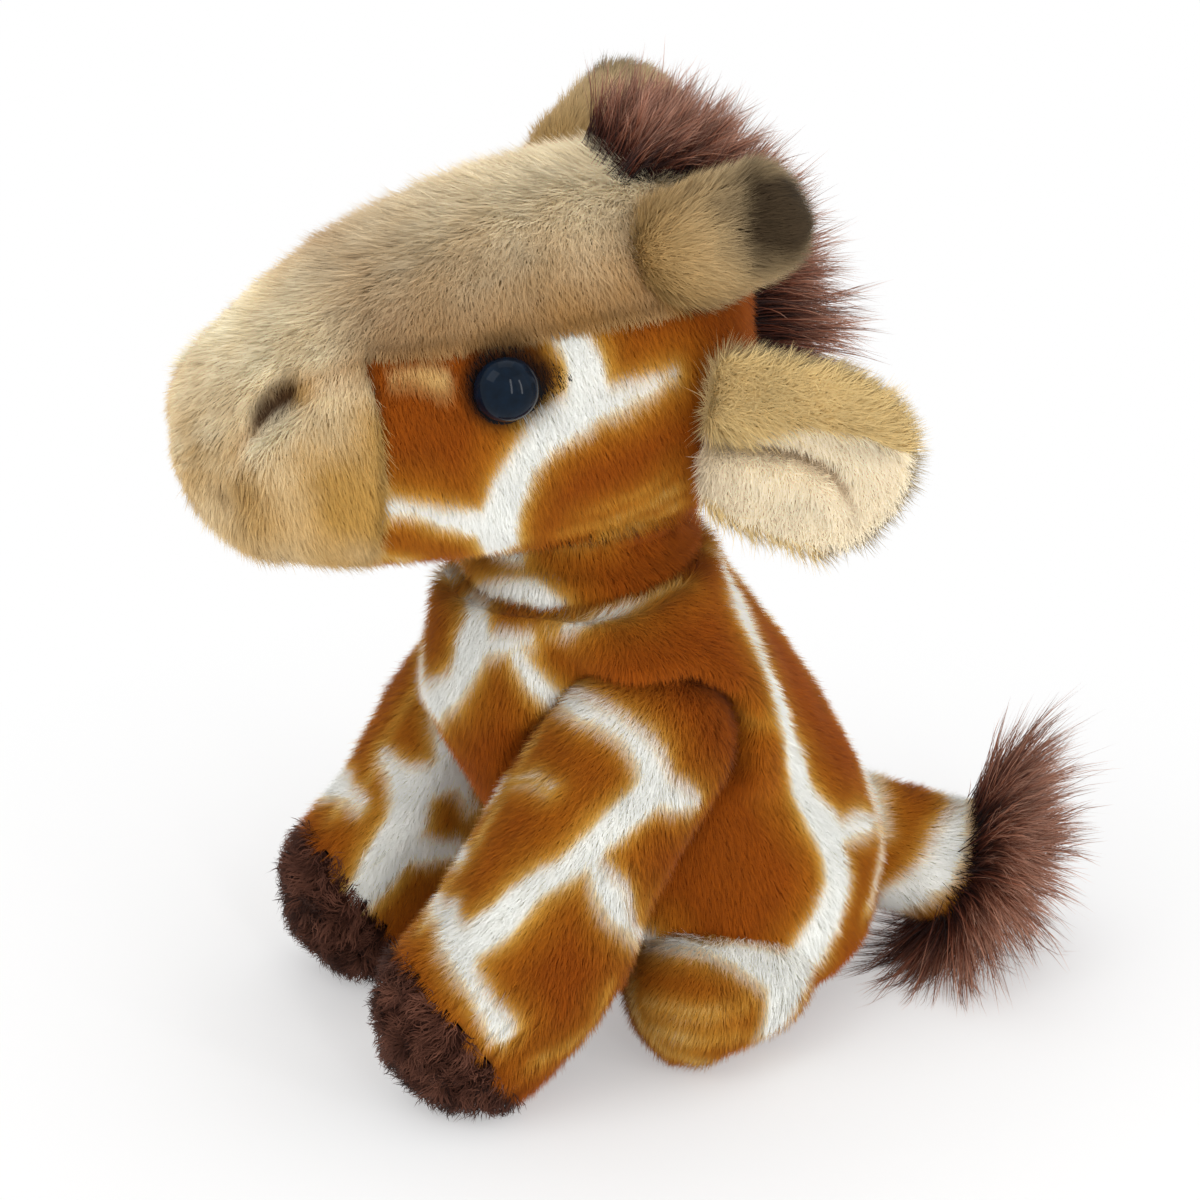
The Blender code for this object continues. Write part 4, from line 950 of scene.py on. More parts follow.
# %% Growing a pile
FLOOR_CLEAR = 0.15 * MM
ROOM, FACING_ROOM = 0.3 * MM, 0.6 * MM  # what fibres need beside, and facing, another skin
# Fibres are painted darker at the root and lighter at the tip: painted shade down in the pile and
# painted light on its top
ROOT_SHADE, TIP_SHADE = np.array([0.88, 0.83, 0.76]), np.array([1.07, 1.07, 1.07])
LIT_UPWARD = UPWARD * 0.25
STREAKED, STREAK = 0.10, 0.22  # share of the fibres that are paler, and by how much
CURL_TURNS = 1.4


def dye_mesh(mesh, colours):
    """Stores one linear colour a point under the name dye."""
    layer = mesh.color_attributes.new("dye", "FLOAT_COLOR", "POINT")
    full = np.ones((len(colours), 4), np.float32)
    full[:, :3] = clamped(colours)
    layer.data.foreach_set("color", full.ravel())


def blades(name, spines, side, half_widths, colours, facing, softness=0.75):
    """Mesh of tapering blades from spines (fibres, steps + 1, 3) and sides (fibres, steps, 3).

    Point 2k is spine k minus side times half width k, point 2k + 1 is plus, the last is the tip.
    A normal is its blade's own times 1 - softness plus the skin's times softness.
    """
    count, steps = side.shape[:2]
    wide = side * half_widths[:, :, None]
    pairs = np.stack([spines[:, :-1] - wide, spines[:, :-1] + wide], 2).reshape(count, -1, 3)
    points = np.concatenate([pairs, spines[:, -1:]], 1)
    points[..., 2] = np.maximum(points[..., 2], FLOOR_CLEAR)
    k = np.arange(steps - 1) * 2
    lower, upper = np.stack([k, k + 1, k + 3], 1), np.stack([k, k + 3, k + 2], 1)
    top = np.array([[2 * steps - 2, 2 * steps - 1, 2 * steps]])
    faces = np.concatenate([lower, upper, top])
    faces = (faces[None] + (np.arange(count) * (2 * steps + 1))[:, None, None]).reshape(-1, 3)
    shades = np.concatenate([np.repeat(colours[:, :-1], 2, axis=1), colours[:, -1:]], 1)
    mesh = bpy.data.meshes.new(name)
    mesh.vertices.add(points.shape[0] * points.shape[1])
    mesh.vertices.foreach_set("co", points.astype(np.float32).ravel())
    mesh.loops.add(faces.size)
    mesh.loops.foreach_set("vertex_index", faces.astype(np.int32).ravel())
    mesh.polygons.add(len(faces))
    mesh.polygons.foreach_set("loop_start", np.arange(len(faces), dtype=np.int32) * 3)
    mesh.update(calc_edges=True)
    dye_mesh(mesh, shades.reshape(-1, 3))
    mesh.shade_smooth()
    skinward = np.repeat(facing, points.shape[1], axis=0)
    blend = unit(normals_of(mesh) * (1 - softness) + skinward * softness)
    mesh.normals_split_custom_set_from_vertices(blend.tolist())
    layer = mesh.attributes.new("skinward", "FLOAT_VECTOR", "POINT")
    layer.data.foreach_set("vector", blend.astype(np.float32).ravel())
    return add_piece(name, mesh)


def scattered(piece, per_mm2, rng, room=None):
    """Random roots on a skin, evenly by area: points, normals. Only where there is room, if given.

    A root is the mix of a triangle's corners by 1 - u - v, u and v, folded back where over 1.
    """
    mesh = piece.data
    mesh.calc_loop_triangles()
    corners = np.empty(len(mesh.loop_triangles) * 3, np.int32)
    mesh.loop_triangles.foreach_get("vertices", corners)
    corners = corners.reshape(-1, 3)
    normals, points = normals_of(mesh), places_of(mesh)
    a, b, c = (points[corners[:, i]] for i in range(3))
    area = np.linalg.norm(np.cross(b - a, c - a), axis=1) / 2
    count = int(area.sum() / MM**2 * per_mm2)
    pick = np.searchsorted(np.cumsum(area) / area.sum(), rng.random(count) * 0.999999)
    u, v = rng.random((2, count))
    u, v = np.where(u + v > 1, 1 - u, u), np.where(u + v > 1, 1 - v, v)
    shares, picked = np.stack([1 - u - v, u, v], 1)[..., None], corners[pick]
    if room is not None:
        free = (room[picked] * shares[..., 0]).sum(1) > 0
        shares, picked = shares[free], picked[free]
    return (points[picked] * shares).sum(1), unit((normals[picked] * shares).sum(1))


def room_round(own):
    """Room at each point of a skin: its distance to the nearest other skin, less what fibres need.

    Inside another skin the distance counts as below zero.
    """
    points, facing = places_of(skins[own].data), normals_of(skins[own].data)
    room = np.full(len(points), 1.0)
    for name, piece in skins.items():
        if name == own:
            continue
        low, high = places_of(piece.data).min(0) - 2 * MM, places_of(piece.data).max(0) + 2 * MM
        for index in np.flatnonzero(((points > low) & (points < high)).all(1)):
            spot, normal, _, gap = trees[name].find_nearest(Vector(points[index]))
            toward = np.array(spot) - points[index]
            needed = FACING_ROOM if toward @ facing[index] > 0.6 * gap else ROOM
            signed = -gap if toward @ np.array(normal) > 0 else gap
            room[index] = min(room[index], signed - needed)
    return room


def grow_pile(name, ground, nap, dyes, length, width, lean, steps=1, spread=0.22,
              root_shade=ROOT_SHADE, curl=0.0, lit_from=LIT_UPWARD):
    """Fibres combed along the nap, on a ground of roots, normals and random numbers.

    Each step of a fibre points along normal * cos(a) + flow * sin(a), where flow is the nap laid
    into the skin and a goes from the first to the second lean. Curl adds a small helix. The dyes
    are one colour a fibre, or a function of point and normal that dyes each point where it lies
    over the skin, as printing on the finished pile does. One fibre in ten is a paler streak.
    Light runs along fibres, so their shading normals lean a little upwards, or as lit_from says.
    """
    roots, normals, rng = ground
    count = len(roots)
    flow = nap - (nap * normals).sum(1, keepdims=True) * normals
    flow = unit(flow) + spread * rng.normal(size=(count, 3))
    flow = unit(flow - (flow * normals).sum(1, keepdims=True) * normals)
    lengths = length * rng.uniform(0.72, 1.18, count)
    lengths *= 1 + 0.12 * wobble(roots, 9 * MM, 11)
    angle = np.radians(np.linspace(lean[0], lean[1], steps) + rng.normal(0, 9, (count, 1)))
    ways = normals[:, None] * np.cos(angle)[..., None] + flow[:, None] * np.sin(angle)[..., None]
    reach = np.cumsum(ways * (lengths / steps)[:, None, None], axis=1)
    spines = np.concatenate([roots[:, None], roots[:, None] + reach], axis=1)
    across = unit(np.cross(flow, normals))
    share = np.arange(steps + 1) / steps
    if curl:
        phase = rng.uniform(0, 2 * np.pi, (count, 1)) + share * 2 * np.pi * CURL_TURNS
        spines += curl * share[None, :, None] * (
            across[:, None] * np.cos(phase)[..., None] + flow[:, None] * np.sin(phase)[..., None]
        )
    roll = rng.uniform(-0.7, 0.7, (count, 1, 1))
    side = unit(across[:, None] * np.cos(roll) + np.cross(ways, across[:, None]) * np.sin(roll))
    thick = width / 2 * rng.uniform(0.75, 1.25, (count, 1)) * (1 - 0.45 * share[:-1] ** 1.5)
    # Painted shade towards the roots, painted light towards the tips
    shade = np.array(root_shade) + (TIP_SHADE - root_shade) * share[:, None]
    vary = rng.normal(1, 0.04, (count, 1, 1)) + STREAK * (rng.random((count, 1, 1)) < STREAKED)
    if callable(dyes):
        rise = ((spines - roots[:, None]) * normals[:, None]).sum(-1, keepdims=True)
        flat = spines - rise * normals[:, None]
        under = np.repeat(normals, steps + 1, axis=0)
        dyes = dyes(flat.reshape(-1, 3), under).reshape(spines.shape)
    else:
        dyes = dyes[:, None]
    return blades(name, spines, side, thick, dyes * shade[None] * vary, unit(normals + lit_from))


print("pile tools ready")

# %% [markdown]
# Plush is acrylic pile knitted into a polyester back. The fibres are matt with a soft sheen at
# their edges, and they differ a little in tone from one to the next. One small function adds a
# node; the materials take the dye from the fibres and add what is smaller than a fibre's dye: a
# slow change of tone over the matted cloth, a quick one along each fibre, and uneven roughness.


# %% Materials
def add_node(tree, kind, inputs=None, out=0, **properties):
    """Adds a node and gives one of its outputs; an output given as input is plugged in."""
    node = tree.nodes.new("ShaderNode" + kind)
    for name, value in properties.items():
        setattr(node, name, value)
    for key, value in (inputs or {}).items():
        if isinstance(value, bpy.types.NodeSocket):
            tree.links.new(value, node.inputs[key])
        else:
            node.inputs[key].default_value = value
    return node.outputs[out] if node.outputs else None


def empty_material(name):
    """A material with nothing in it, its node tree, and the coordinates of its object."""
    material = bpy.data.materials.new(name)
    material.use_nodes = True
    tree = material.node_tree
    tree.nodes.clear()
    return material, tree, add_node(tree, "TexCoord", out="Object")


def shown(material, surface):
    """The material with its last shader plugged into an output."""
    add_node(material.node_tree, "OutputMaterial", {"Surface": surface})
    return material


def noise(tree, place, size, detail, **more):
    """A noise from about 0.3 to 0.7, whose features are one size apart."""
    inputs = {"Scale": 1 / size, "Detail": detail, "Vector": place, **more}
    return add_node(tree, "TexNoise", inputs, "Fac")


def ranged(tree, value, low, high, first=0.0, last=1.0):
    """The value laid from first and last onto low and high."""
    limits = {"From Min": first, "From Max": last, "To Min": low, "To Max": high}
    return add_node(tree, "MapRange", {"Value": value, **limits})


def two_tone(tree, value, low, high):
    """The colour between two hex colours at a value from 0 to 1."""
    ramp = add_node(tree, "ValToRGB", {"Fac": value})
    for stop, code in zip(ramp.node.color_ramp.elements, (low, high)):
        stop.color = (*linear(code), 1)
    return ramp


LIGHT_THROUGH = 0.42  # how much of a fibre's dye the light shows that comes through it


def fibre_material(name, sheen, rough, fine=1.1 * MM, matted=11 * MM, bump=0.0):
    """Dyed acrylic fibre: matt, softly shining at its edges, tone varied at two sizes.

    A fibre is lit on both faces as the pile round it is, from its stored normals, and lets some
    light through to its far face. The knitted back has a bump instead.
    """
    material, tree, place = empty_material(name)
    dye = add_node(tree, "Attribute", out="Color", attribute_name="dye")
    quick, slow = noise(tree, place, fine, 2.0), noise(tree, place, matted, 3.0)
    fine_tone = ranged(tree, quick, 0.94, 1.06, 0.3, 0.7)
    slow_tone = ranged(tree, slow, 0.91, 1.09, 0.3, 0.7)
    tone = add_node(tree, "Math", {0: fine_tone, 1: slow_tone}, operation="MULTIPLY")
    toned = add_node(tree, "VectorMath", {0: dye, 3: tone}, operation="SCALE")
    roughness = ranged(tree, quick, rough - 0.08, rough + 0.08, 0.3, 0.7)
    finish = {"Sheen Weight": sheen, "Sheen Roughness": 0.5, "Specular IOR Level": 0.10,
              "Base Color": toned, "Roughness": roughness}
    if bump:
        finish["Normal"] = add_node(
            tree, "Bump", {"Strength": 0.6, "Distance": bump, "Height": quick})
        return shown(material, add_node(tree, "BsdfPrincipled", finish))
    skinward = add_node(tree, "Attribute", out="Vector", attribute_name="skinward")
    facing = add_node(tree, "VectorTransform", {"Vector": skinward}, vector_type="NORMAL",
                      convert_from="OBJECT", convert_to="WORLD")
    finish["Normal"] = facing
    inward = add_node(tree, "VectorMath", {0: facing, 3: -1.0}, operation="SCALE")
    paler = add_node(tree, "VectorMath", {0: toned, 3: LIGHT_THROUGH}, operation="SCALE")
    front = add_node(tree, "BsdfPrincipled", finish)
    through = add_node(tree, "BsdfTranslucent", {"Color": paler, "Normal": inward})
    return shown(material, add_node(tree, "AddShader", {0: front, 1: through}))


plush_back = fibre_material("knitted_plush_back", 0.05, 0.88, fine=0.7 * MM, bump=0.3 * MM)
short_pile = fibre_material("short_acrylic_pile", 0.05, 0.80)
long_pile = fibre_material("long_acrylic_pile", 0.06, 0.76)
loose_hair = fibre_material("combed_acrylic_hair", 0.04, 0.50, fine=1.6 * MM)
print("materials:", [m.name for m in (plush_back, short_pile, long_pile, loose_hair)])

# %% [markdown]
# The short printed pile covers the body, neck, cheeks, legs and tail. It is 3 to 4 mm long,
# combed down the body, and dense. A fibre this short is one triangle, so that eleven of them can
# stand on a square millimetre. They lie over each other, and the skin below wears the same print.

# %% Short printed pile
DENSE, SHORT = 11.0, 3.6 * MM
DOWN = np.array([0.0, 0.15, -1.0])
leg_way = unit(FOOT - SHOULDER)
# A cloth is its material and how its fibres are: their width, lean and so on
SHORT_CLOTH = (short_pile, {"width": 0.20 * MM, "lean": (56, 56)})


def put_material(piece, material):
    """Gives the piece one material in its first slot."""
    piece.data.materials.clear()
    piece.data.materials.append(material)


def grown(skin_name, per_mm2, seed):
    """Free roots on a skin, away from its neighbours and from the floor, with their normals."""
    rng = np.random.default_rng(seed)
    roots, normals = scattered(skins[skin_name], per_mm2, rng, room_round(skin_name))
    free = (roots[:, 2] > 1.2 * MM) | (normals[:, 2] > -0.5)
    return roots[free], normals[free], rng


def part_of(ground, chosen):
    """The chosen roots and normals of a ground, with its random numbers."""
    return ground[0][chosen], ground[1][chosen], ground[2]


def cover(name, ground, nap, dyes, length, cloth, body, slot, node, **more):
    """A pile of one cloth on a ground, on its body in place of its solid; the slot is not used."""
    material, fibres = cloth
    piece = grow_pile(name, ground, nap, dyes, length, **fibres, **more)
    put_material(piece, material)
    dress(piece, body, slot, node)
    print(name, len(ground[0]), "fibres", len(piece.data.polygons), "faces")


def print_pile(name, skin_name, nap, body, slot, node, seed, side=None):
    """Printed short pile on a skin, or on one side of it."""
    ground = grown(skin_name, DENSE, seed)
    if side is not None:
        ground = part_of(ground, ground[0][:, 0] * side >= 0)
    cover(name, ground, nap, lambda points, _: printed(points, skin_name), SHORT, SHORT_CLOTH,
          body, slot, node)


for side, sign in SIDES:
    print_pile("body_pile_" + side, "trunk_skin", DOWN, "trunk", "brown_patch",
               "body_panel_" + side, 10 + sign, sign)
    print_pile("leg_pile_" + side, "leg_skin_" + side, leg_way * (sign, 1, 1),
               "front_leg_" + side, "golden", "leg_" + side, 20 + sign)
    print_pile("hind_leg_pile_" + side, "hind_leg_skin_" + side,
               np.array([0.3 * sign, -0.5, -0.8]), "trunk", "golden", "hind_leg_" + side, 30 + sign)
print_pile("neck_pile", "neck_skin", DOWN, "neck", "brown_patch", "neck_panel", 40)
print_pile("tail_pile", "tail_skin", tail_way, "tail", "golden", "tail", 41)

# %% [markdown]
# The head wears two cloths. Printed plush covers the cheeks and the back. A beige long pile covers
# the muzzle's sides, and one more strip of it runs from the nose over the forehead to the crown.
# The seams are written as heights along the head, so every fibre knows its panel. A pale streak
# ahead of each eye is part of the print.


# %% Panels of the head
SEAM_MARKS = ((0.0, 0.087, 0.268, 0.697, 1.0), (0.571, 0.571, 0.680, 0.721, 0.721))  # back, high
STRIP_HALF, STRIP_BACK, STRIP_FOOT = 0.5, 0.174, 0.2585  # shares of the strip down the nose
EYE_PLACE = in_head(1, 0.4805, 0.585) - np.array([1.5, 1.4, -1.3]) * MM
EYE_RADIUS, PATCH_RADIUS, PATCH_CORNER = 6 * MM, 7.25 * MM, 12.75 * MM
EYE_AHEAD, EYE_CLIMB = np.radians(14), np.radians(8)
eye_outward = np.array([
    np.cos(EYE_AHEAD) * np.cos(EYE_CLIMB), -np.sin(EYE_AHEAD) * np.cos(EYE_CLIMB),
    np.sin(EYE_CLIMB),
])
eye_back = unit(np.cross(UPWARD, eye_outward))
eye_up = np.cross(eye_outward, eye_back)


def head_shares(points):
    """Where a point is: share of the half width out, of the length back and of the height up."""
    return (points[:, 0] / (HEAD_WIDTH / 2), (points[:, 1] - HEAD_NOSE) / HEAD_LENGTH,
            (points[:, 2] - HEAD_FLOOR) / HEAD_HEIGHT)


def over_seam(back, high):
    """Height over the forehead's lower seam, which runs straight between its five marks."""
    return (high - np.interp(back, *SEAM_MARKS)) * HEAD_HEIGHT


def panel_of(points):
    """Forehead above the seam and down the front of the nose, muzzle ahead, face behind."""
    out, back, high = head_shares(points)
    strip = (abs(out) < STRIP_HALF) & (back < STRIP_BACK) & (high > STRIP_FOOT)
    above = (high > np.interp(back, *SEAM_MARKS)) | strip
    return np.where(above, "forehead", np.where(back < CHEEK_BACK, "muzzle", "face"))


def from_eye(points):
    """Distances back and up from the middle of the eye on the same side, in the eye's plane."""
    away = to_left(points) - EYE_PLACE
    return away @ eye_back, away @ eye_up


EYE_SHADE, SHADE_END, SHADE_FADE = linear("#1a0b05"), 9.4 * MM, 2.8 * MM


def shaded_by_eye(dyes, points):
    """Painted shade round the eye: dark brown, 0.95 of it at the rim, none 3 to 5 mm further."""
    along, up = from_eye(points)
    round_it = np.hypot(along * np.where(along > 0, 0.85, 1.0), up)
    return mixed(dyes, EYE_SHADE, 0.95 * clamped((SHADE_END - round_it) / SHADE_FADE))


def head_nap(points, normals):
    """Down and out at the sides, and forward to the nose on top, where the skin faces up."""
    top = clamped(normals[:, 2])
    out = points[:, 0] / (HEAD_WIDTH / 2)
    return np.stack([0.6 * out, 0.18 - 0.45 * top, -0.8 + 0.4 * top], 1)


# The deep beige is painted shade along the forehead's lower seam, with its reach above and below
BEIGE_LOW, BEIGE_HIGH, BEIGE_SEAM_SHADE = linear("#ba924e"), linear("#efe3c4"), linear("#8c5e27")
SEAM_SHADE_ABOVE, SEAM_SHADE_BELOW = 22 * MM, 7 * MM


def beige(points, normals):
    """Warm beige at the sides, paler on nose and chin, and painted light where the pile faces up.

    Near the lower seam it goes to a painted shade, to 22 mm above the seam and 7 mm below it.
    """
    out, back, high = head_shares(points)
    # Paler where the pile faces up, which is painted light from above; paler beige on nose and chin
    pale = clamped(normals[:, 2]) ** 1.5 + 0.35 * clamped(1 - back / 0.22)
    pale += 0.3 * clamped(1 - high / 0.3) + 0.12 * wobble(points, 14 * MM, 8)
    dyes = mixed(BEIGE_LOW, BEIGE_HIGH, clamped(pale))
    # Painted shade along the lower seam, under the overhanging forehead
    above = over_seam(back, high)
    reach = np.where(above > 0, SEAM_SHADE_ABOVE, SEAM_SHADE_BELOW)
    deep = clamped(1 - abs(above) / reach) * clamped((back - 0.2) / 0.1)
    return mixed(dyes, BEIGE_SEAM_SHADE, 0.75 * deep)


# Painted shade in the dimples. Each shade's net with the share of it in the middle, its reach in
# millimetres and its colour
FACE_SHADES = (
    (crease_net, 0.5, 2.2, "#9a6c38"), (mouth_net, 0.3, 2.0, "#5a3818"),
    (nostril_net, 0.95, 2.6, "#38200e"),
)


def dimple_shaded(dyes, points):
    """Beige dyes with painted shade: brown in creases, faint at the mouth, dark in the nostrils."""
    for net, most, reach, code in FACE_SHADES:
        away = from_net(points, net) / (reach * MM)
        dyes = mixed(dyes, linear(code), most * clamped(1.0 - away))
    return dyes


SPOT_LINES = (
    ((394, 382, 0.4), (412, 380, 0.7), (430, 380, 1.4), (441, 384, 1.2)),
)
spot_net = on_head(SPOT_LINES)
SPOT_DYE, SPOT_FADE = linear("#e6c582"), 2.6 * MM
SEWN_SHADE, SEWN_WIDTH = 0.45, 0.95 * MM


def spotted(dyes, points):
    """A pale yellow streak ahead of each eye: strongest within its line, none 1.6 mm off."""
    pale = np.clip(0.6 - from_net(points, spot_net) / SPOT_FADE, 0, 0.85)
    return mixed(dyes, SPOT_DYE, pale)


def sewn(dyes, points):
    """Shade of the sewn valleys: the dyes less 0.45 of them at a seam, half of that 0.8 mm off."""
    _, back, high = head_shares(points)
    above = over_seam(back, high)
    ahead = np.where(above < 0, abs(back - CHEEK_BACK) * HEAD_LENGTH, 1.0)
    away = np.minimum(ahead, np.where(back > CHEEK_BACK, abs(above), 1.0))
    return dyes * (1 - SEWN_SHADE * bell(away, SEWN_WIDTH))[:, None]


def face_dye(points, _):
    """The print of the face with its spot, with painted shade at the seams and near the eye."""
    spots = spotted(printed(points, "head_skin"), points)
    return shaded_by_eye(sewn(spots, points), points)


def beige_dye(points, normals):
    """Beige, with painted shade in the dimples, at the seams and near the eye."""
    return shaded_by_eye(sewn(dimple_shaded(beige(points, normals), points), points), points)


MUZZLE_PILE, FOREHEAD_PILE, FELT_CORNER = 4.8 * MM, 6.0 * MM, 7.8 * MM
# Painted shade at the roots of the long pile, milder than the short pile's
LONG_ROOT_SHADE = (0.96, 0.92, 0.85)
LONG_CLOTH = (long_pile, {"width": 0.22 * MM, "lean": (62, 62), "root_shade": LONG_ROOT_SHADE})
ground = grown("head_skin", DENSE, 50)
along, up = from_eye(ground[0])
corner = (along > 0) & (along < FELT_CORNER) & (abs(up) < (FELT_CORNER - along) * 0.5)
ground = part_of(ground, (np.hypot(along, up) > EYE_RADIUS + 0.2 * MM) & ~corner)
panels, on_left = panel_of(ground[0]), ground[0][:, 0] >= 0
for side, sign in SIDES:
    for panel, dye, length, cloth, slot in (
        ("face", face_dye, SHORT, SHORT_CLOTH, "brown_patch"),
        ("muzzle", beige_dye, MUZZLE_PILE, LONG_CLOTH, "beige"),
    ):
        mine = part_of(ground, (panels == panel) & (on_left == (sign > 0)))
        cover(f"{panel}_pile_{side}", mine, head_nap(*mine[:2]), dye, length, cloth, "head", slot,
              f"{panel}_panel_{side}")
mine = part_of(ground, panels == "forehead")
_, back, high = head_shares(mine[0])
longer = FOREHEAD_PILE * np.clip(0.5 + over_seam(back, high) / (14 * MM), 0.5, 1)
cover("forehead_pile", mine, head_nap(*mine[:2]), beige_dye, longer, LONG_CLOTH, "head", "beige",
      "forehead_panel", spread=0.25)

# %% [markdown]
# The skins wear the same dyes as the fibres that stand on them, a little darker: painted shade of
# the ground between the fibres. Horn, ear and hoof are plain cloth, dyed by where a point is.


# %% Dyeing the skins
HOOF_DARK, HOOF_LIGHT = linear("#341b13"), linear("#623f32")
CREAM, EAR_BEIGE, HORN_DARK = linear("#ede0c6"), linear("#d3ba85"), linear("#33271a")
FOLD_SHADE = linear("#8a6c48")
# The skins are painted darker: painted shade of the ground between the fibres
GROUND_SHADE = (0.88, 0.84, 0.78)
HORN_MARK_PIXEL, TIP_DARK, TIP_FADE = (764, 226), 15.0 * MM, 8.0 * MM
HORN_TIP = HORN_ROOT + horn_way * HORN_LENGTH
# Height shares along the ear of the lower edge of its lining
LINING_FOOT = ((0.0, 0.3, 0.7, 0.95, 1.12), (-0.62, -0.8, -0.86, -0.66, -0.2))
horn_hit = trees["horn_skin_left"].ray_cast(
    Vector(eye_point), Vector(rays_through([HORN_MARK_PIXEL])[0]))
HORN_MARK = np.array(horn_hit[0]) * 0.6 + HORN_TIP * 0.4


def horn_dye(points):
    """Beige, with a soft dark olive-brown patch at the outer end: full within 7 mm of its mark."""
    away = to_left(points) - HORN_MARK
    far = np.linalg.norm(away, axis=1) + 1.2 * MM * wobble(points, 7 * MM, 5)
    dark = 0.96 * clamped((TIP_DARK - far) / TIP_FADE)[:, None]
    warm = clamped((away @ horn_way + 30 * MM) / (22 * MM))[:, None]
    plain = BEIGE_LOW * (0.95 - 0.35 * warm) + BEIGE_HIGH * (0.05 + 0.35 * warm)
    return 0.75 * plain * (1 - dark) + HORN_DARK * dark


def ear_shares(points):
    """Share along the ear, up from its middle, and the height of the front over its mid leaf."""
    away = to_left(points) - EAR
    up, along, front = away @ ear_high, away @ ear_way, away @ ear_front
    up = up / (EAR_HEIGHT / 2)
    return along / EAR_LENGTH, up, front - EAR_CURL * up**2


def on_lining(points):
    """True on the hollow front of the ear, below the furry roll and inside the lower rim."""
    out, up, front = ear_shares(points)
    within = (up < np.interp(out, *EAR_RIM)) & (up > np.interp(out, *LINING_FOOT))
    return (front > -1.5 * MM) & within & (out > 0.02) & (out < 1.12)


def ear_dye(points):
    """Cream lining with painted shade in its long fold and at the root, beige on back and rim."""
    out, up, _ = ear_shares(points)
    off_crease = (up - np.interp(out, *EAR_CREASE)) * EAR_HEIGHT / 2
    # Painted shade in the long fold
    fold = 0.85 * bell(off_crease, 1.4 * MM) * clamped((0.8 - out) / 0.12)
    # Painted shade at the ear's root, where it meets the head
    fold = np.maximum(fold, 0.35 * clamped(1 - out * 3))
    return np.where(on_lining(points)[:, None], mixed(CREAM, FOLD_SHADE, fold), EAR_BEIGE)


def skin_dye(name, mesh):
    """The dye at each point of a skin."""
    points = places_of(mesh)
    if name == "head_skin":
        normals = normals_of(mesh)
        on_face = (panel_of(points) == "face")[:, None]
        return np.where(on_face, face_dye(points, normals), beige_dye(points, normals))
    if name.startswith("horn"):
        return horn_dye(points)
    if name.startswith("ear"):
        return ear_dye(points)
    if name.startswith(("hoof", "sole")):
        return np.tile(HOOF_DARK, (len(points), 1))
    return printed(points, name)


for name, piece in skins.items():
    dye_mesh(piece.data, skin_dye(name, piece.data) * GROUND_SHADE)
    put_material(piece, plush_back)
print("dyed", len(skins), "skins")

# %% [markdown]
# Horns and ears carry the beige pile again, the lining of the ears a shorter cream one, and the
# hooves a dark curly one, whose fibres are wound to small helices.

# %% Horns, ears and hooves
HORN_PILE, EAR_PILE, LINING_PILE, HOOF_PILE = 4.6 * MM, 6.0 * MM, 3.0 * MM, 4.0 * MM
LINING_CLOTH = (short_pile, {"width": 0.20 * MM, "lean": (50, 50), "spread": 0.4,
                             "root_shade": LONG_ROOT_SHADE})
CURLY_CLOTH = (short_pile, {"width": 0.26 * MM, "lean": (25, 65), "steps": 3, "spread": 0.35,
                            "curl": 0.4 * MM})
CURLY_DENSE = 4.0
for side, sign in SIDES:
    outward = np.array([sign, 1, 1])
    ground = grown("horn_skin_" + side, DENSE, 60 + sign)
    cover("horn_pile_" + side, ground, horn_way * outward + (0, 0, -0.3), horn_dye(ground[0]),
          HORN_PILE, LONG_CLOTH, "head", "beige", "horn_" + side)

    ground = grown("ear_skin_" + side, DENSE, 64 + sign)
    roots, normals, _ = ground
    lined, up = on_lining(roots), ear_shares(roots)[1]
    fan = np.clip((up - 0.05) * 2.5, -1, 1)[:, None] * ear_high * 0.8 + ear_way
    way, front_way, dyes = fan * outward, ear_front * outward, ear_dye(roots)
    at_rim = LIT_UPWARD + front_way * 0.9 * clamped(1 - abs(normals @ front_way))[:, None]
    cover("ear_pile_" + side, part_of(ground, ~lined), way[~lined], dyes[~lined], EAR_PILE,
          LONG_CLOTH, "ear_flap_" + side, "beige", "ear_" + side, spread=0.3,
          lit_from=at_rim[~lined])
    cover("ear_lining_pile_" + side, part_of(ground, lined), (way - ear_high * 0.7)[lined],
          dyes[lined], LINING_PILE, LINING_CLOTH, "ear_flap_" + side, "cream",
          "ear_lining_" + side)

    for part in ("hoof", "sole"):
        ground = grown(f"{part}_skin_{side}", CURLY_DENSE, 70 + sign + len(part))
        roots = ground[0]
        dyes = mixed(HOOF_DARK, HOOF_LIGHT, clamped(0.5 + 0.6 * wobble(roots, 5 * MM, 9)))
        swirl = np.stack([wobble(roots, 9 * MM, seed) for seed in (12, 13, 14)], 1)
        cover(f"{part}_pile_{side}", ground, toe_way * 0.5 + swirl, dyes, HOOF_PILE,
              CURLY_CLOTH, "front_leg_" + side, "hoof_brown", f"{part}_{side}")

# %% [markdown]
# Mane and tuft are long loose hair. Such hair clings in locks: each lock has a guide curve, and
# its hairs start apart and draw together towards the tip. The guides fan out from the crown and
# bow under their own weight.


# %% Long hair in locks
HAIRS, HAIR_STEPS = 16, 5  # in a lock, and along a hair


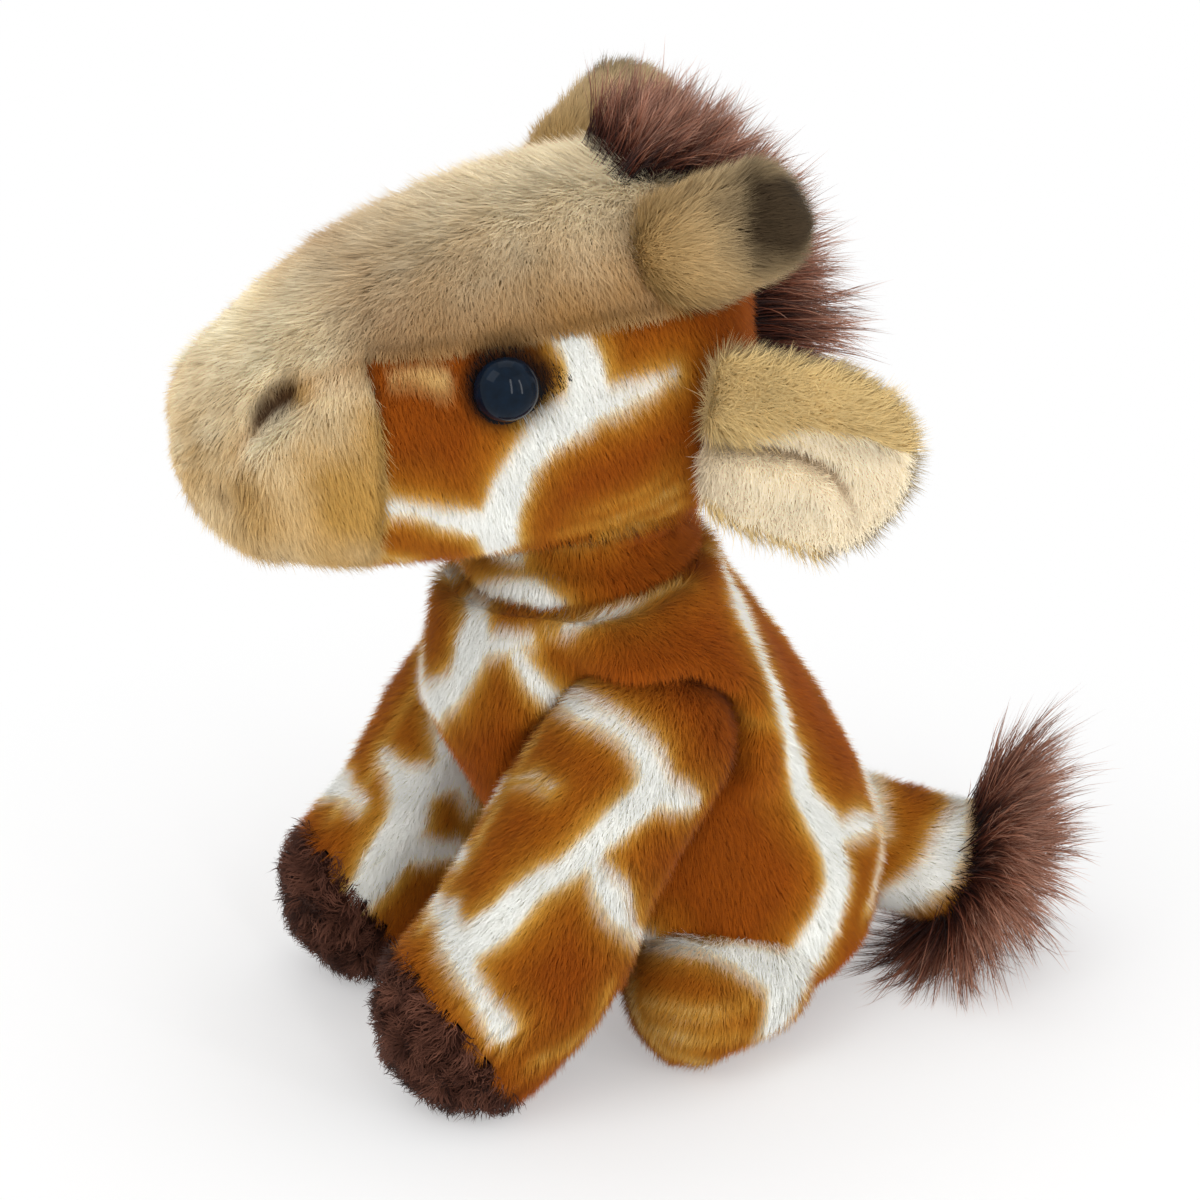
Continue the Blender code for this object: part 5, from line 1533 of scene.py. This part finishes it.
def grow_locks(name, roots, ways, rng, length, root_gap, width, droop, bend):
    """Locks of hair along guides.

    A guide runs from its root along way - droop * s * s upwards + bend * s times a random
    sideways vector. Hair i is the guide plus its own offset, which shrinks to a sixth at the tip.
    The dye goes in even steps through the hair's colours from root to tip.
    """
    count = len(roots)
    share = np.arange(HAIR_STEPS + 1) / HAIR_STEPS
    lengths = length * rng.uniform(0.72, 1.12, count)
    aside = unit(rng.normal(size=(count, 3)))
    course = (
        ways[:, None]
        - UPWARD * droop * (share[1:] ** 2)[None, :, None]
        + aside[:, None] * bend * (share[1:])[None, :, None]
    )
    guide = np.cumsum(unit(course) * (lengths / HAIR_STEPS)[:, None, None], axis=1)
    guide = np.concatenate([0 * guide[:, :1], guide], axis=1)
    guide = np.repeat(guide, HAIRS, axis=0)
    total = count * HAIRS
    offset = rng.normal(size=(total, 3)) * root_gap
    stray = rng.normal(size=(total, 3)) * 0.05 * lengths.mean()
    own = rng.uniform(0.6, 1.1, (total, 1, 1))
    spines = (
        np.repeat(roots, HAIRS, axis=0)[:, None]
        + guide * own
        + offset[:, None] * (1 - 0.85 * share ** 0.8)[None, :, None]
        + stray[:, None] * (share ** 2)[None, :, None]
    )
    along = unit(spines[:, 1:] - spines[:, :-1])
    side = unit(np.cross(along, unit(rng.normal(size=(total, 1, 3)))))
    thick = width / 2 * rng.uniform(0.7, 1.3, (total, 1)) * (1 - 0.6 * share[:-1] ** 2)
    stops = np.linspace(0, 1, len(HAIR_DYES))
    fade = np.stack([np.interp(share, stops, part) for part in np.array(HAIR_DYES).T], 1)
    tone = np.repeat(rng.uniform(0.8, 1.25, (count, 1, 1)), HAIRS, axis=0)
    colours = fade[None] * tone * rng.uniform(0.88, 1.12, (total, 1, 1))
    outward = np.repeat(unit(ways + UPWARD * 0.4), HAIRS, axis=0)
    hair = blades(name, spines, side, thick, colours, outward, 0.5)
    put_material(hair, loose_hair)
    print(name, count, "locks", len(hair.data.polygons), "faces")
    return hair


HAIR_DYES = [linear(code) for code in ("#1b0804", "#331209", "#5a2f20", "#87553f", "#bb9480")]
MANE_PER_MM2, MANE_HALF_WIDTH, MANE_LENGTH = 0.9, 9 * MM, 20 * MM
MANE_FRONT, MANE_FOOT = 0.74, 0.40  # shares of the head: how far back and how high it starts
rng = np.random.default_rng(80)
roots, _ = scattered(skins["head_skin"], MANE_PER_MM2, rng)
out, back, high = head_shares(roots)
strip = (abs(roots[:, 0]) < MANE_HALF_WIDTH) & (back > MANE_FRONT) & (high > MANE_FOOT)
roots, back, high = roots[strip], back[strip], high[strip]
ahead, lower = clamped((0.92 - back) / 0.16), clamped((0.72 - high) / 0.2)
ways = (unit(roots - in_head(0, 0.78, 0.50)) + BACKWARD * (0.25 + 0.35 * ahead[:, None])
        + rng.normal(size=roots.shape) * 0.15)
reach = MANE_LENGTH * (1 - 0.12 * ahead + 0.25 * lower)
mane = grow_locks("mane_hair", roots, unit(ways), rng, reach, 0.9 * MM, 0.17 * MM,
                  droop=0.25, bend=0.4)
dress(mane, "head", "mane_brown", "mane")

TUFT_LOCKS, TUFT_RADIUS, TUFT_DEPTH = 700, 11.5 * MM, 9 * MM
TUFT_LENGTH, TUFT_ABOVE, TUFT_BELOW = 20 * MM, 9 * MM, 15 * MM
rng = np.random.default_rng(90)
angle, radius = rng.uniform(0, 2 * np.pi, TUFT_LOCKS), np.sqrt(rng.random(TUFT_LOCKS))
up_tail = np.cross(tail_across, tail_way)
angle, radius = angle[:, None], radius[:, None]
rise = np.sin(angle) * radius
rim = np.cos(angle) * tail_across + np.sin(angle) * up_tail
core = (1 - radius ** 2) * rng.uniform(0, 1, (TUFT_LOCKS, 1))
roots = (TAIL + tail_way * (TAIL_LENGTH + 4 * MM + TUFT_DEPTH * core)
         + rim * radius * TUFT_RADIUS)
swept = 1.35 * rng.random((TUFT_LOCKS, 1)) ** 0.8
ways = (tail_way * (0.34 - swept * clamped(-rise)) + up_tail * (0.10 + rise) * 1.2
        + tail_across * np.cos(angle) * radius * 0.7)
ways = unit(unit(ways) + rng.normal(size=ways.shape) * 0.15)
reach = TUFT_LENGTH + TUFT_ABOVE * clamped(rise[:, 0]) + TUFT_BELOW * clamped(-rise[:, 0])
tuft = grow_locks("tuft_hair", roots, ways, rng, reach, 1.3 * MM, 0.19 * MM, droop=0.45, bend=0.2)
dress(tuft, "tail", "mane_brown", "tail_tuft")

# %% [markdown]
# A safety eye is a polished dome of black polycarbonate on a shank. It is turned: an arc of
# radius and height is carried once round. Under it lies an almond of black felt, cut with its
# corner to the rear. The dome and the patch are worked out once and mirrored.


# %% Eyes
DOME_FOOT, DOME_HEIGHT, PATCH_HEIGHT, PATCH_CAST = 1.4 * MM, 4.6 * MM, 0.9 * MM, 20 * MM


def eye_side(grid, sign):
    """Puts a grid of distances back, up and out along the eye's axes in its place on that side."""
    points = (EYE_PLACE + grid[..., 2:] * eye_outward + grid[..., :1] * eye_back
              + grid[..., 1:2] * eye_up)
    return points * (sign, 1, 1)


def dome_grid(rings=20, turns=64):
    """Radius r * sin(a) and height h * cos(a), carried round; below the rim it closes flat."""
    a = np.linspace(0, np.pi / 2, rings)
    radius = np.append(EYE_RADIUS * np.sin(a), (EYE_RADIUS * 0.96, EYE_RADIUS * 0.5, 0.0))
    height = np.append(DOME_FOOT + DOME_HEIGHT * np.cos(a), (0.9 * MM, 0.7 * MM, 0.7 * MM))
    turn = np.linspace(0, 2 * np.pi, turns, endpoint=False)
    return np.stack([np.outer(radius, np.cos(turn)), np.outer(radius, np.sin(turn)),
                     np.outer(height, np.ones(turns))], -1)


def patch_grid(rings=10, turns=72):
    """A disc drawn out to a corner at the rear: x + rear cubed * reach, y * (1 - 0.35 rear * rear).

    Its heights are measured from the skin below it.
    """
    share = np.concatenate([np.linspace(0, 1, rings), [1.0], np.linspace(1, 0, rings)])
    height = np.concatenate([PATCH_HEIGHT - 0.15 * MM * np.linspace(0, 1, rings) ** 4,
                             [0.4 * MM], np.full(rings, 0.0)])
    turn = np.linspace(0, 2 * np.pi, turns, endpoint=False)
    rear = clamped(np.cos(turn))
    x = PATCH_RADIUS * np.cos(turn) + rear**3 * (PATCH_CORNER - PATCH_RADIUS)
    y = PATCH_RADIUS * np.sin(turn) * (1 - 0.35 * rear**2)
    grid = np.stack([np.outer(share, x), np.outer(share, y), np.zeros((len(share), turns))], -1)
    for spot in grid.reshape(-1, 3):
        start = eye_side(spot + (0, 0, PATCH_CAST), 1)
        hit = trees["head_skin"].ray_cast(Vector(start), Vector(-eye_outward))
        spot[2] = PATCH_CAST - hit[3]
    grid[..., 2] += height[:, None]
    return grid


def polished_material():
    """Moulded black polycarbonate: IOR 1.58, polished, with a faint blue cast and fine wear."""
    material, tree, place = empty_material("polished_polycarbonate")
    cloud = noise(tree, place, 2 * MM, 4.0)
    return shown(material, add_node(tree, "BsdfPrincipled", {
        "IOR": 1.58, "Specular IOR Level": 0.09,
        "Base Color": two_tone(tree, cloud, "#02060b", "#0b1e30"),
        "Roughness": ranged(tree, cloud, 0.03, 0.09),
    }))


def felt_material():
    """Pressed black felt: matt, with tangled fibres about 0.5 mm apart."""
    material, tree, place = empty_material("black_wool_felt")
    tangle = noise(tree, place, 0.5 * MM, 5.0, Distortion=1.5)
    return shown(material, add_node(tree, "BsdfPrincipled", {
        "Sheen Weight": 0.05, "Specular IOR Level": 0.1,
        "Base Color": two_tone(tree, tangle, "#07080a", "#18191c"),
        "Roughness": ranged(tree, tangle, 0.82, 0.98),
        "Normal": add_node(
            tree, "Bump", {"Strength": 0.7, "Distance": 0.15 * MM, "Height": tangle}),
    }))


EYE_PARTS = (("dome", dome_grid(), polished_material(), "eye_"),
             ("felt", patch_grid(), felt_material(), "eye_patch_"))
for side, sign in SIDES:
    for kind, grid, material, node in EYE_PARTS:
        piece = loft(f"eye_{kind}_{side}", eye_side(grid, sign))
        put_material(piece, material)
        dress(piece, "head", "eye_black", node + side)
print("eyes set at", np.round(EYE_PLACE, 4).tolist())

# %% [markdown]
# The washers that lock the eyes are moulded from clear plastic and hidden in the head. They stay
# as packed and get the finish of natural polypropylene: milky, satin, with flow marks.


# %% Washers
def washer_material():
    """Moulded natural polypropylene: milky white, satin, IOR 1.49, with slow flow marks."""
    material, tree, place = empty_material("moulded_polypropylene")
    flow = noise(tree, place, 3 * MM, 2.0)
    return shown(material, add_node(tree, "BsdfPrincipled", {
        "IOR": 1.49, "Base Color": two_tone(tree, flow, "#dcdcd6", "#f0f0ec"),
        "Roughness": ranged(tree, flow, 0.32, 0.5),
    }))


polypropylene = washer_material()
for side, _ in SIDES:
    for slot in frame["nodes"]["eye_washer_" + side].material_slots:
        slot.material = polypropylene
print("washers finished")

# %% [markdown]
# The studio is a white floor under a white sky, with a soft key from the upper left, a fill from
# the right and a lamp from above and behind. The floor shines white away from the toy and takes
# its shadow near it. Two tall windows of light give the eye its two bright marks.


# %% Floor, light and background
CARD_NEAR, CARD_FAR, CARD_GLOW = 0.085, 0.19, 0.35  # metres from the toy, and the least glow
SKY_LIGHT, SKY_SHOWN = 0.88, 1.0
WHITE = (1, 1, 1, 1)


def floor_material():
    """White card near the toy, that keeps its shadow, and plain white further off."""
    material, tree, place = empty_material("white_card")
    split = add_node(tree, "SeparateXYZ", {"Vector": place}).node.outputs
    flat = add_node(tree, "CombineXYZ", {"X": split["X"], "Y": split["Y"]})
    far = add_node(tree, "VectorMath", {0: flat}, "Value", operation="LENGTH")
    white = ranged(tree, far, CARD_GLOW, 1.0, CARD_NEAR, CARD_FAR)
    card = add_node(tree, "BsdfDiffuse", {"Color": (0.93, 0.93, 0.93, 1)})
    glow = add_node(tree, "Emission", {"Strength": 1.0})
    return shown(material, add_node(tree, "MixShader", {0: white, 1: card, 2: glow}))


card = bpy.data.meshes.new("floor")
card.from_pydata([(-2, -2, 0), (2, -2, 0), (2, 2, 0), (-2, 2, 0)], [], [(0, 1, 2, 3)])
floor = add_piece("floor", card)
put_material(floor, floor_material())

world = bpy.data.worlds.new("studio")
bpy.context.scene.world = world
world.use_nodes = True
sky = world.node_tree
sky.nodes.clear()
path = add_node(sky, "LightPath").node.outputs
direct = path["Is Camera Ray"]
for kind in ("Is Glossy Ray", "Is Transmission Ray"):
    direct = add_node(sky, "Math", {0: direct, 1: path[kind]}, operation="MAXIMUM")
dim, bright = (
    add_node(sky, "Background", {"Color": WHITE, "Strength": power})
    for power in (SKY_LIGHT, SKY_SHOWN)
)
both = add_node(sky, "MixShader", {0: direct, 1: dim, 2: bright})
add_node(sky, "OutputWorld", {"Surface": both})


def mirrored_place(pixel, distance):
    """Where a lamp must be for the left eye to show it there: way - 2 (way . normal) normal."""
    way = rays_through([pixel])[0]
    dome = tree_of_piece(bpy.data.objects["eye_dome_left"])
    spot, normal, _, _ = dome.ray_cast(Vector(eye_point), Vector(way))
    normal = np.array(normal)
    return np.array(spot) + (way - 2 * (way @ normal) * normal) * distance


nearer = unit(to_camera * (1, 1, 0))
WINDOW_AWAY, WINDOW = 1.1, (1.9, 0.09, 0.8)
# Each lamp with its place, its watts, and its width and height in metres; all face the toy
for name, place, power, wide, tall in (
    ("key", AIM - to_right * 0.7 + UPWARD * 0.9 + nearer * 0.5, 2.6, 0.7, 0.7),
    ("fill", AIM + to_right * 0.9 + UPWARD * 0.5 + nearer * 0.6, 0.8, 0.9, 0.9),
    ("top", AIM + UPWARD * 1.2 - nearer * 0.3, 1.2, 0.8, 0.8),
    ("window_left", mirrored_place((511, 387), WINDOW_AWAY), *WINDOW),
    ("window_right", mirrored_place((522, 387), WINDOW_AWAY), *WINDOW),
):
    data = bpy.data.lights.new(name, "AREA")
    data.shape, data.energy, data.size, data.size_y = "RECTANGLE", power, wide, tall
    aim_from(add_piece(name, data), place, AIM - place)
